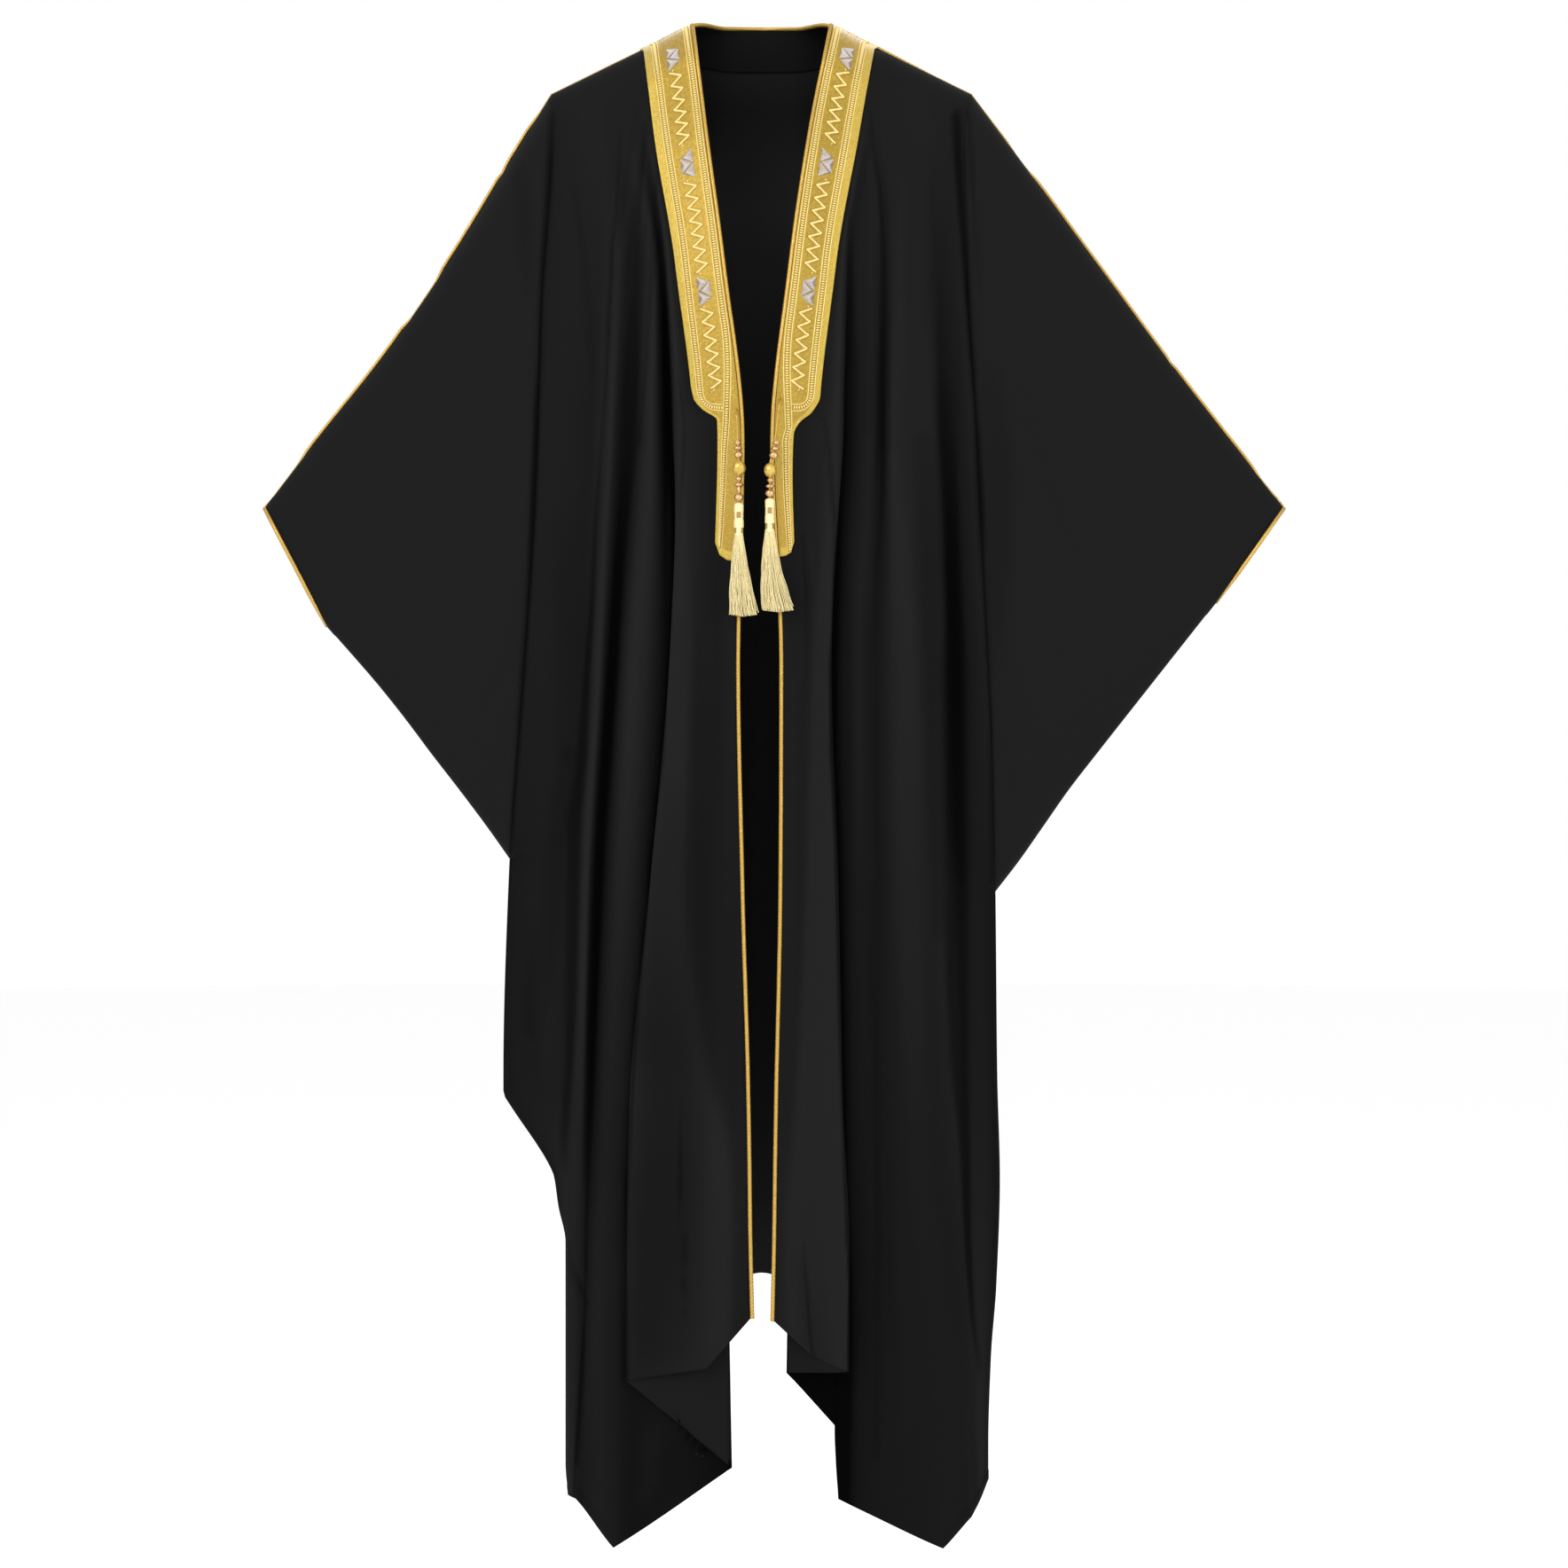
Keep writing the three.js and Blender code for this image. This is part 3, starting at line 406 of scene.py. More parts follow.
def sleeveSurface(sideName, rings):
    # rings from the armhole to the cuff, each down the front and up the back
    lines = sleeveLines[sideName]
    parts = len(lines["top"]) - 1
    spots = [(k, t * parts - k) for t in rings for k in [min(int(t * parts), parts - 1)]]
    ends = {}
    for name in ("top", "under"):
        flat = np.array([(x, 0, z) for x, z in lines[name]], float)
        ends[name] = curveThrough(flat[None], spots)[0][:, None]
    rows = np.concatenate([upperRows, upperRows[-2:0:-1]])
    facing = np.where(np.arange(len(rows)) < len(upperRows), -1, 1)
    t = np.asarray(rings)[:, None]
    length = np.linalg.norm(ends["top"] - ends["under"], axis=-1)
    bottom = np.minimum(cloak["underarmRound"], cloak["sleeveRound"] * length)
    side = sides[sideName]
    seam = readTable(side["line"], lerp(cloak["shoulderHeight"], side["underarm"], rows))
    bow = (seam - lerp(lines["top"][0][0], lines["under"][0][0], rows)) * (1 - t) ** 2
    y = (lerp(cloak["armHalfDepth"], cloak["cuffHalfDepth"], t) * quarterRound(rows * length / cloak["ridgeRound"])
         * quarterRound((1 - rows) * length / bottom))
    x = lerp(ends["top"][..., 0], ends["under"][..., 0], rows) + bow
    z = lerp(ends["top"][..., 2], ends["under"][..., 2], rows)
    grid = realPlace(x, facing * y, z)
    half = len(upperRows)
    grid[0, :half] = sidePlaces(sideName, upperRows, -1)
    grid[0, half:] = sidePlaces(sideName, rows[half:], 1)
    return grid


# creases by where they run (x, height), then their half width and how far they stand out or sink in
frontCreases = [
    (((-137, -80), (-152, -160), (-162, -250)), 4, -1.6),
    (((-127, -115), (-144, -200), (-152, -320)), 4, -2.0),
    (((-118, -165), (-136, -250), (-142, -400), (-150, -500)), 4.5, -2.4),
    (((-112, -205), (-124, -300), (-127, -440)), 4, -1.8),
    (((-106, -250), (-109, -350), (-110, -480)), 3.5, -1.4),
    (((-219, -140), (-203, -240), (-196, -320), (-188, -430)), 5, -2.2),
    (((-172, -150), (-170, -280), (-176, -480), (-190, -640), (-194, -740)), 4, -3.0),
    (((-194, -700), (-205, -880), (-209, -1100), (-222, -1280)), 4.5, -3.5),
    (((-109, -400), (-108, -560), (-107, -720)), 4, -2.2), (((-85, -560), (-92, -720), (-88, -900)), 9, 2.2),
    (((-92, -1210), (-91, -1320), (-87, -1460)), 3.5, -2.4),
    (((-70, -700), (-76, -1000), (-74, -1300)), 10, 2.0),
    (((-220, -1380), (-208, -1415), (-197, -1441)), 4, -3.0),
    (((-197, -1441), (-203, -1560), (-209, -1655)), 3.5, -3.2),
    (((-112, -1545), (-78, -1596), (-40, -1622)), 4, -4.0),
    (((-125, -1560), (-128, -1640), (-150, -1690)), 12, 3.0),
    (((-258, -985), (-262, -1090), (-246, -1230)), 12, -3.0),
    (((-236, -900), (-246, -1010), (-240, -1180)), 12, 3.0),
    (((-45, -520), (-52, -700), (-50, -960)), 6, -1.6), (((-30, -900), (-34, -1150), (-28, -1400)), 5, -1.4),
    (((126, -66), (131, -130), (138, -210), (137, -350), (134, -480), (139, -560)), 4, -2.6),
    (((99, -190), (97, -290), (95, -430)), 4, -1.6), (((108, -150), (104, -260), (108, -380)), 5, 1.4),
    (((192, -120), (193, -240), (188, -380)), 6, -2.0), (((160, -140), (156, -260), (160, -420)), 7, 1.8),
    (((217, -80), (226, -220), (236, -370), (240, -470)), 4, -3.4),
    (((229, -80), (238, -160), (246, -260)), 4, -1.6), (((66, -450), (60, -540), (62, -640)), 5, -1.8),
    (((46, -560), (52, -660), (50, -800)), 4, -1.6), (((100, -520), (106, -700), (112, -960)), 10, 2.4),
    (((125, -640), (128, -900), (136, -1160)), 5, -1.6), (((170, -400), (168, -640), (176, -900)), 13, 2.4),
    (((40, -620), (38, -860), (34, -1180)), 7, 1.6), (((36, -1370), (52, -1450), (58, -1505)), 5, -2.4),
    (((186, -980), (196, -1250), (214, -1500)), 10, -2.0),
    (((150, -1300), (160, -1480), (168, -1640)), 9, 2.2), (((244, -1050), (248, -1230), (246, -1400)), 7, 1.8),
    (((-250, -120), (-330, -330), (-420, -560)), 20, 2.6),
    (((-262, -330), (-310, -520), (-400, -690)), 24, -3.4),
    (((-268, -560), (-300, -700), (-350, -800)), 18, 3.0),
    (((-272, -760), (-290, -840), (-312, -880)), 11, -2.4),
    (((-300, -200), (-400, -400), (-510, -560)), 16, -2.4),
    (((-430, -470), (-470, -560), (-490, -640)), 12, 2.0), (((250, -130), (340, -330), (430, -540)), 20, 2.8),
    (((256, -340), (310, -520), (390, -700)), 24, -3.6), (((262, -480), (276, -640), (310, -800)), 18, 3.2),
    (((262, -760), (275, -860), (290, -930)), 11, -2.6), (((310, -210), (410, -400), (530, -570)), 16, -2.4),
    (((450, -480), (480, -570), (500, -640)), 12, 2.0),
]
backCreases = [
    (((-60, -60), (-90, -180), (-110, -330), (-112, -520)), 9, 3.0),
    (((60, -60), (84, -190), (98, -350), (100, -560)), 9, 3.0),
    (((-120, -90), (-150, -220), (-166, -420), (-170, -640)), 8, -3.4),
    (((118, -88), (144, -240), (158, -430), (164, -620)), 8, -3.2),
    (((-30, -160), (-34, -420), (-30, -760)), 12, -3.0), (((26, -120), (30, -400), (24, -700)), 11, 2.4),
    (((-206, -120), (-200, -300), (-206, -520)), 7, -2.6), (((204, -120), (200, -280), (210, -560)), 7, -2.8),
    (((-140, -560), (-150, -860), (-146, -1240)), 12, 4.0),
    (((-86, -640), (-92, -980), (-88, -1380)), 10, -3.8), (((-52, -900), (-58, -1180), (-56, -1400)), 9, 3.2),
    (((-4, -760), (-10, -1080), (-6, -1330)), 12, -3.6), (((54, -660), (60, -1000), (62, -1360)), 11, 3.6),
    (((106, -720), (116, -1020), (120, -1420)), 10, -3.8), (((150, -500), (166, -860), (176, -1260)), 12, 4.0),
    (((204, -640), (214, -940), (218, -1300)), 9, -3.2),
    (((-196, -560), (-212, -860), (-216, -1220)), 9, -3.4),
    (((-240, -860), (-262, -1010), (-256, -1180)), 9, 3.0),
    (((236, -860), (244, -1060), (240, -1340)), 8, 2.6),
    (((-120, -1300), (-128, -1440), (-132, -1530)), 7, -2.6),
    (((88, -1200), (92, -1340), (96, -1450)), 7, 2.4), (((24, -1080), (28, -1240), (26, -1380)), 7, 2.2),
    (((-252, -130), (-330, -340), (-410, -560)), 20, 3.0),
    (((-268, -340), (-320, -540), (-392, -700)), 22, -3.4),
    (((-266, -600), (-296, -720), (-346, -806)), 16, 3.0), (((252, -120), (340, -330), (436, -560)), 20, 3.0),
    (((258, -360), (320, -540), (400, -700)), 22, -3.6), (((264, -600), (282, -740), (318, -840)), 16, 3.0),
    (((-330, -240), (-420, -420), (-500, -560)), 14, -2.2),
    (((330, -230), (430, -420), (520, -570)), 14, -2.2),
]
creaseEnds = 0.3  # the share of a crease over which it comes and goes
creaseHeld = (2, 26)  # how far from the side seams creases are held and free
seamTrough = {"halfWidth": 4, "depth": 2.6, "from": 110, "fade": 60, "above": (-10, 60)}


def nearRun(run, x, z):
    # how far each place is from a run, and the row of the run that it is nearest to, with its fraction
    near, row = np.full(x.shape, 1e9), np.zeros_like(x)
    for k, (a, b) in enumerate(zip(run[:, :2], run[1:, :2])):
        way = b - a
        s = np.clip(((x - a[0]) * way[0] + (z - a[1]) * way[1]) / (way @ way), 0, 1)
        gap = np.hypot(x - a[0] - s * way[0], z - a[1] - s * way[1])
        row = np.where(gap < near, k + s, row)
        near = np.minimum(gap, near)
    return near, row


def creaseShift(x, z, creases):
    shift = np.zeros_like(x)
    for run, halfWidth, height in creases:
        run = np.array(run, float)
        near, row = nearRun(run, x, z)
        total = np.concatenate([[0], np.cumsum(np.linalg.norm(np.diff(run, axis=0), axis=1))])
        along = np.interp(row, np.arange(len(run)), total) / total[-1]
        ends = smooth(0, creaseEnds, along) * smooth(0, creaseEnds, 1 - along)
        shift += height * np.exp(-(near / halfWidth) ** 2) * ends
    return shift


def creased(points):
    # pushes the fronts forward or back by their creases, and the back likewise; seams stay where they are
    x, z = sighted(points)
    y = points[..., 1]
    held = smooth(*creaseHeld, np.abs(y))
    shift = np.where(y < 0, creaseShift(x, z, frontCreases), creaseShift(x, z, backCreases))
    for side, line in ((sides["left"], -1), (sides["right"], 1)):
        gap = np.abs(x - readTable(side["line"], z))
        low, high = (side["underarm"] + part for part in seamTrough["above"])
        reach = smooth(seamTrough["from"], seamTrough["from"] + seamTrough["fade"], -z)
        reach = reach * smooth(low, high, z) * (x * line > 0)
        shift = shift - seamTrough["depth"] * np.exp(-(gap / seamTrough["halfWidth"]) ** 2) * reach
    moved = points.copy()
    moved[..., 1] += np.where(y < 0, -1, 1) * shift * held
    return moved


def quadsOf(rows, columns, turned=False, closed=False):
    i, j = np.meshgrid(np.arange(rows - 1), np.arange(columns if closed else columns - 1), indexing="ij")
    after = (j + 1) % columns
    corners = [i * columns + j, i * columns + after, (i + 1) * columns + after, (i + 1) * columns + j]
    return np.stack(corners[::-1] if turned else corners, axis=-1).reshape(-1, 4)


def pointNormals(points, quads):
    normals = np.zeros_like(points)
    a, b, c, d = (points[quads[:, k]] for k in range(4))
    found = np.cross(c - a, d - b)
    for k in range(4):
        np.add.at(normals, quads[:, k], found)
    return normals


def makeMesh(name, points, faces, material, tone=None):
    mesh = bpy.data.meshes.new(name)
    mesh.from_pydata((np.asarray(points) / 1000).tolist(), [], [list(map(int, face)) for face in faces])
    mesh.update()
    mesh.polygons.foreach_set("use_smooth", [True] * len(mesh.polygons))
    if tone is not None:
        tone = np.asarray(tone, float).ravel()
        layer = mesh.attributes.new("tone", "FLOAT", "POINT" if len(tone) == len(points) else "FACE")
        layer.data.foreach_set("value", tone)
    made = bpy.data.objects.new(name, mesh)
    scene.collection.objects.link(made)
    made.data.materials.append(material)
    return made


def shellOf(quads, outer, inner):
    # a closed skin round a grid of cloth, from its outer points to its inner ones
    points = np.concatenate([outer.reshape(-1, 3), inner.reshape(-1, 3)])
    count = len(points) // 2
    faces = [quads, quads[:, ::-1] + count]
    edges = np.concatenate([quads[:, [k, (k + 1) % 4]] for k in range(4)])
    known = set(map(tuple, edges.tolist()))
    rim = np.array([(b, a, a + count, b + count) for a, b in edges.tolist() if (b, a) not in known])
    return points, np.concatenate([*faces, rim])


hemTurn = {"from": 1.984, "to": 1.9855, "cuffFrom": 0.974, "cuffTo": 0.978, "raise": 0.45}  # by row and by ring
# 0 at the armhole and 1 at the cuff
sleeveRings = np.sort(np.append(np.linspace(0, 1, 64), (hemTurn["cuffFrom"], hemTurn["cuffTo"])))
cloakGrids = {
    "front_panel_left": (frontSurface("left", allRows, evenStops(foldSteps["left"])), False, False),
    "front_panel_right": (frontSurface("right", allRows, evenStops(foldSteps["right"])), True, False),
    "back_panel": (backSurface(allRows, evenStops(backSteps)), False, False),
    "sleeve_left": (sleeveSurface("left", sleeveRings), True, True),
    "sleeve_right": (sleeveSurface("right", sleeveRings), False, True),
}


def seamNormals(patches):
    # normals that agree where two pieces share a point, and stand square to the shoulder line
    allPoints = np.concatenate([grid.reshape(-1, 3) for grid, _ in patches.values()])
    _, shared = np.unique(np.round(allPoints * 20).astype(np.int64), axis=0, return_inverse=True)
    shared = shared.ravel()
    own = np.concatenate([pointNormals(grid.reshape(-1, 3), quads) for grid, quads in patches.values()])
    total = np.zeros((shared.max() + 1, 3))
    np.add.at(total, shared, own)
    normals = unit(total[shared])
    x, y, z = allPoints.T
    ridge = (np.abs(y) < 0.01) & (np.abs(x) > cloak["neckHalfWidth"] - 0.01)
    ridge = ridge & (z > cloak["shoulderHeight"] - 0.01)
    for sign, tip in ((-1, -cloak["shoulderLeft"]), (1, cloak["shoulderRight"])):
        square = unit(np.array([-cloak["shoulderHeight"] * sign, 0, tip - cloak["neckHalfWidth"]], float))
        normals[ridge & (x * sign > 0)] = square
    found, start = {}, 0
    for name, (grid, _) in patches.items():
        size = grid.shape[0] * grid.shape[1]
        found[name] = normals[start:start + size].reshape(grid.shape)
        start += size
    return found


# where folds shade the fronts, as runs of (x, height, half width, how much darker; lighter below zero)
shades = (
    ((-89, -620, 26, 0), (-87, -770, 32, 0.22), (-91, -920, 38, 0.34), (-97, -1120, 42, 0.36),
     (-104, -1320, 42, 0.32), (-107, -1470, 40, 0.16)),
    ((-237, -100, 5, 0.3), (-239, -150, 5, 0.45), (-243, -210, 4.5, 0.5), (-248, -290, 3.5, 0.5),
     (-250, -370, 3.5, 0.6), (-254, -440, 4, 0.7), (-258, -530, 4, 0.7), (-261, -610, 3.5, 0.6),
     (-265, -670, 3, 0.5), (-269, -720, 3, 0.5), (-276, -820, 2.8, 0.45), (-282, -920, 2.6, 0.4),
     (-285, -980, 2.4, 0.3)),
    ((-159, -120, 2.5, 0.15), (-163, -190, 2.5, 0.25), (-169, -260, 2.5, 0.35), (-172, -320, 2.5, 0.35),
     (-175, -390, 2.5, 0.35), (-179, -450, 2.5, 0.35), (-183, -510, 3, 0.4), (-188, -570, 3, 0.45),
     (-191, -650, 3.5, 0.55), (-196, -720, 4, 0.65), (-202, -820, 7, 0.6), (-211, -890, 9, 0.6),
     (-213, -1020, 8, 0.6), (-217, -1170, 6, 0.55), (-223, -1260, 5, 0.5), (-223, -1288, 4, 0.3)),
    ((-131, -110, 2.5, 0.2), (-137, -190, 3, 0.3), (-141, -260, 3.5, 0.3), (-145, -320, 5, 0.25),
     (-146, -400, 9, 0.25), (-147, -470, 9, 0.4), (-154, -530, 8, 0.6), (-161, -610, 7, 0.75),
     (-167, -720, 6.5, 0.75), (-174, -820, 7, 0.7), (-181, -920, 6, 0.7), (-187, -1070, 4, 0.65),
     (-191, -1170, 3.5, 0.6), (-195, -1270, 3, 0.55), (-198, -1370, 2.6, 0.5), (-198, -1435, 2.4, 0.5),
     (-204, -1530, 2.4, 0.5), (-209, -1620, 2.6, 0.35)),
    ((-117, -160, 2.5, 0.2), (-124, -240, 2.5, 0.25), (-126, -310, 2.5, 0.25), (-131, -390, 2.5, 0.25),
     (-138, -470, 2.5, 0.25)),
    ((-107, -300, 2, 0.1), (-107, -390, 2, 0.18), (-108, -470, 2, 0.15), (-109, -550, 2, 0.1)),
    ((-94, -400, 2.4, 0.25), (-87, -450, 2.4, 0.3), (-91, -530, 2.4, 0.3), (-94, -610, 2.4, 0.3),
     (-101, -670, 2.2, 0.35), (-106, -720, 2.2, 0.45), (-111, -820, 2.2, 0.45), (-124, -920, 2.2, 0.45),
     (-132, -1020, 2.2, 0.5), (-141, -1120, 2.2, 0.5), (-147, -1220, 2.2, 0.5), (-152, -1320, 2.2, 0.5),
     (-154, -1420, 2.2, 0.5), (-155, -1526, 2.2, 0.5)),
    ((-93, -1210, 1.6, 0.1), (-91, -1310, 1.6, 0.3), (-87, -1390, 1.6, 0.3), (-87, -1460, 1.6, 0.2)),
    ((-219, -1370, 2.4, 0.5), (-209, -1405, 2.4, 0.5), (-197, -1438, 2.4, 0.5)),
    ((-114, -1542, 3, 0.3), (-79, -1575, 3, 0.3), (-41, -1618, 3, 0.2)),
    ((-259, -1130, 14, 0.2), (-241, -1020, 16, 0.2), (-231, -920, 14, 0.25), (-219, -820, 10, 0.2)),
    ((-219, -570, 22, 0.08), (-214, -690, 20, 0.18), (-219, -820, 14, 0.15)),
    ((-192, -100, 16, -0.12), (-187, -160, 14, -0.08)),
    ((-129, -490, 10, -0.12), (-132, -590, 12, -0.25), (-137, -690, 15, -0.28), (-147, -820, 14, -0.25),
     (-156, -950, 13, -0.15), (-163, -1070, 12, -0.05)),
    ((-101, -490, 5, -0.1), (-103, -570, 5, -0.1)),
    ((121, -90, 2.5, 0.15), (126, -140, 2.6, 0.3), (133, -190, 2.8, 0.35), (137, -250, 2.8, 0.35),
     (137, -320, 2.6, 0.3), (136, -400, 2.6, 0.3), (136, -470, 2.6, 0.3), (136, -530, 2.6, 0.25),
     (129, -610, 3, 0.2), (126, -710, 3, 0.1)),
    ((219, -100, 6, 0.6), (221, -150, 5.5, 0.65), (225, -210, 4, 0.55), (229, -270, 3, 0.45),
     (236, -350, 2.8, 0.4), (240, -410, 2.8, 0.45), (243, -470, 4, 0.65), (247, -550, 4.5, 0.65),
     (249, -610, 3, 0.45), (254, -690, 2.6, 0.35), (258, -790, 2.6, 0.4), (259, -870, 2.6, 0.35),
     (260, -960, 2.4, 0.25)),
    ((233, -95, 3, 0.25), (237, -170, 3.5, 0.3), (241, -230, 3, 0.2), (245, -300, 3, 0.1)),
    ((205, -410, 12, 0.15), (207, -450, 11, 0.3), (211, -490, 10, 0.5), (214, -550, 9.5, 0.72),
     (215, -610, 10.5, 0.84), (217, -670, 11.5, 0.88), (217, -720, 13.5, 0.9), (218, -870, 14, 0.92),
     (220, -970, 14, 0.92), (220, -1070, 13, 0.92), (223, -1170, 11, 0.9), (229, -1270, 6.5, 0.88),
     (232, -1370, 4.5, 0.85), (237, -1450, 3.2, 0.75), (245, -1515, 3, 0.5)),
    ((181, -470, 14, 0.15), (191, -610, 16, 0.25), (195, -730, 14, 0.25), (197, -870, 13, 0.25),
     (201, -1020, 11, 0.15)),
    ((71, -440, 2.6, 0.25), (79, -510, 3, 0.35), (83, -570, 4, 0.55), (83, -620, 5, 0.8), (82, -670, 5.5, 0.85),
     (80, -720, 6, 0.88), (80, -820, 5, 0.85), (84, -920, 3.4, 0.8), (86, -1020, 2.8, 0.75),
     (88, -1120, 2.6, 0.7), (91, -1220, 2.6, 0.7), (95, -1320, 2.6, 0.7), (99, -1420, 2.4, 0.7),
     (98, -1515, 2.4, 0.7)),
    ((99, -150, 2.4, 0.12), (98, -270, 2.4, 0.22), (96, -370, 2.4, 0.22), (89, -440, 2.4, 0.2)),
    ((47, -570, 2.4, 0.15), (49, -630, 2.4, 0.28), (50, -700, 2.4, 0.15)),
    ((125, -970, 5, 0.1), (129, -1170, 5, 0.2), (131, -1370, 5, 0.22), (128, -1610, 5, 0.15)),
    ((46, -1370, 2, 0.2), (51, -1416, 2, 0.4), (55, -1480, 2, 0.45), (61, -1513, 2, 0.4)),
    ((146, -490, 9, -0.15), (151, -570, 13, -0.25), (156, -670, 18, -0.28), (161, -820, 19, -0.28),
     (164, -970, 18, -0.25), (169, -1100, 16, -0.15), (173, -1220, 14, -0.05)),
    ((119, -470, 8, -0.1), (121, -550, 9, -0.15), (113, -650, 9, -0.08)),
    ((171, -80, 16, -0.1), (181, -120, 14, -0.08)),
    ((257, -390, 12, 0.1), (267, -490, 18, 0.18), (269, -590, 16, 0.16), (259, -730, 12, 0.08)),
    ((-274, -160, 10, 0.1), (-267, -220, 10, 0.16), (-265, -300, 8, 0.08)),
)
# how light the cloth is painted: painted shade in its hollows, painted shade low down where less light falls, the
# sleeves painted a little lighter, the inside faces painted lighter where more light is lost, and the neck facing
# painted a little darker
clothLight = {"wide": 26, "wideDepth": 34, "narrow": 7, "narrowDepth": 14, "least": 0.05, "most": 1.45,
              "sleeve": 1.12, "low": ((-1650, 0.66), (-1100, 0.8), (-500, 1), (-200, 1)), "inside": 1.0,
              "insideSleeve": 1.5, "insideBack": ((-1500, 3.6), (-400, 3.8), (-190, 3.7), (-80, 1.2)),
              "facing": 0.75}


def smoothedAcross(values, places, reach):
    # a running mean across each row, weighted by distance
    found = np.empty_like(values)
    for row in range(len(values)):
        weights = np.exp(-((places[row][:, None] - places[row][None]) / reach) ** 2)
        weights = weights * np.abs(np.gradient(places[row]))
        found[row] = (weights * values[row]).sum(1) / weights.sum(1)
    return found


def shadeAt(x, z):
    # the share of light that is left beside every run of shade
    left = np.ones_like(x)
    for run in shades:
        run = np.array(run, float)
        near, row = nearRun(run, x, z)
        halfWidth, dark = (np.interp(row, np.arange(len(run)), run[:, k]) for k in (2, 3))
        left = left * (1 - dark * np.exp(-(near / halfWidth) ** 4))
    return left


def clothPaintedLight(name, grid):
    # painted shade and light: one value for every point outside, and one for every point inside
    x, y, z = (grid[..., axis] for axis in range(3))
    # painted shade along the runs of shade, on points that face forward
    seen = np.where(y < 0, shadeAt(*sighted(grid)), 1)
    inside = np.full(x.shape, clothLight["inside"])
    if name.startswith("sleeve"):
        return clothLight["sleeve"] * seen, inside * clothLight["insideSleeve"]
    forward = -y if name.startswith("front") else y
    # painted shade in the hollows and painted highlight on the ridges, by how far each point stands out from its
    # neighbours
    wide = (forward - smoothedAcross(forward, x, clothLight["wide"])) / clothLight["wideDepth"]
    narrow = (forward - smoothedAcross(forward, x, clothLight["narrow"])) / clothLight["narrowDepth"]
    # painted shade, darker towards the hem
    low = np.interp(z, *np.array(clothLight["low"]).T)
    # painted light on the inside of the back
    if name.startswith("back"):
        inside = np.interp(z, *np.array(clothLight["insideBack"]).T)
    return np.clip((1 + wide + narrow) * low * seen, clothLight["least"], clothLight["most"]), inside


def makeCloth(material):
    patches = {}
    for name, (grid, turned, closed) in cloakGrids.items():
        grid = creased(grid)
        patches[name] = (grid, quadsOf(*grid.shape[:2], turned, closed))
    normals = seamNormals(patches)
    made = {}
    half = cloak["thickness"] / 2
    for name, (grid, quads) in patches.items():
        lift = np.full(grid.shape[:2], half)
        if name.startswith(("front", "back")):
            lift += hemTurn["raise"] * smooth(hemTurn["from"], hemTurn["to"], allRows)[:, None]
        else:
            lift += hemTurn["raise"] * smooth(hemTurn["cuffFrom"], hemTurn["cuffTo"], sleeveRings)[:, None]
        outer = grid + normals[name] * lift[..., None]
        inner = grid - normals[name] * half
        points, faces = shellOf(quads, outer, inner)
        made[name] = makeMesh(name + "_cloth", points, faces, material, tone=np.stack(clothPaintedLight(name, grid)))
    return made, {name: (grid, normals[name]) for name, (grid, _) in patches.items()}


# the zari band, in flat places on it: across from its inner edge, and down along it
band = {
    "width": 60, "length": 602, "rows": 0.68, "rowSteps": 520, "pitch": 1.2, "base": 0.62, "top": 2.1,
    "borderWidth": 9.4, "borderBlend": (-0.6, 0.4), "borderRaise": 0.3, "edgeRound": (0, 1.5), "edgeDrop": 0.7,
    "outerLadder": 13.6, "innerLadder": 5.2, "ladderBed": 2.9, "bedBlend": (-0.5, 0.3), "bedSink": 0.35,
    "lineGap": 0.7, "ridge": 0.22, "grain": 0.1, "crevice": 0.8, "creviceSink": 0.2,
    "shadowAt": 1.9, "shadowWidth": 1,
    "zigzagPeriod": 15.2, "zigzagReach": 6.6, "zigzagStep": 1.7, "limbPoints": 9,
    "leftEnd": ((0, -603), (0.45, -602), (0.8, -596), (1, -582)),
    "rightEnd": ((0, -598), (0.45, -597), (0.8, -593), (1, -581)),
    "zigzagTo": -411, "closeAt": -427, "closeTurn": 13, "closeShort": 1.3, "narrowFrom": 0.5, "narrowTo": -594,
    "narrowBlend": (-90, 60), "narrowBelow": 25,  # from the closing ladder, where the inner one crosses over
    "silver": ((-24, -1), (-148, 1), (-292, -1)), "silverRoom": 20,
}
# how light each part of the band is: its own colours, with painted shadow beside the zigzags and painted shade in
# the crevice
bandTone = {"border": 0.56, "field": 0.29, "bed": 0.3, "line": 0.8, "crevice": 0.28, "shadow": 0.2,
            "grain": 0.08}
# stitches by length, width, height and how far their middles stand over the band's top
stitch = {
    "detail": 1, "margin": 0.5, "ahead": 0.8, "rung": (5.2, 2.3, 1.9, 0.35), "rungPitch": 2.8,
    "zigzag": (3.7, 2.8, 1.8, 0.45), "zigzagLean": 0.5,
    "tuft": (3.6, 1.8, 1.3, 0.3), "tuftPlace": (4.4, 1.5), "tuftWay": (1.0, 0.9),
    "silver": (1.35, 1.0, 0.3), "silverPitch": 1.15, "silverReach": 1.12, "silverLean": 0.12,
    "silverLeast": 1.2,
    "line": {"radius": 0.55, "sides": 5, "pitch": 2.0, "lift": 0.1},
}
silverBlock = {"halfWidth": 7.8, "triangles": ((-17.4, -0.3, -9, -1), (-8.7, 8.7, 0, 1), (0.3, 17.4, 9, -1))}


def nearestGap(places, line):
    gaps = [np.sqrt(((part[:, None] - line[None]) ** 2).sum(-1).min(1)) for part in np.array_split(places, 40)]
    return np.concatenate(gaps)


def ridgeAt(gap, centre, halfWidth):
    return np.exp(-((gap - centre) / halfWidth) ** 2)


def within(gap, edge, blend):
    return 1 - smooth(edge + blend[0], edge + blend[1], gap)


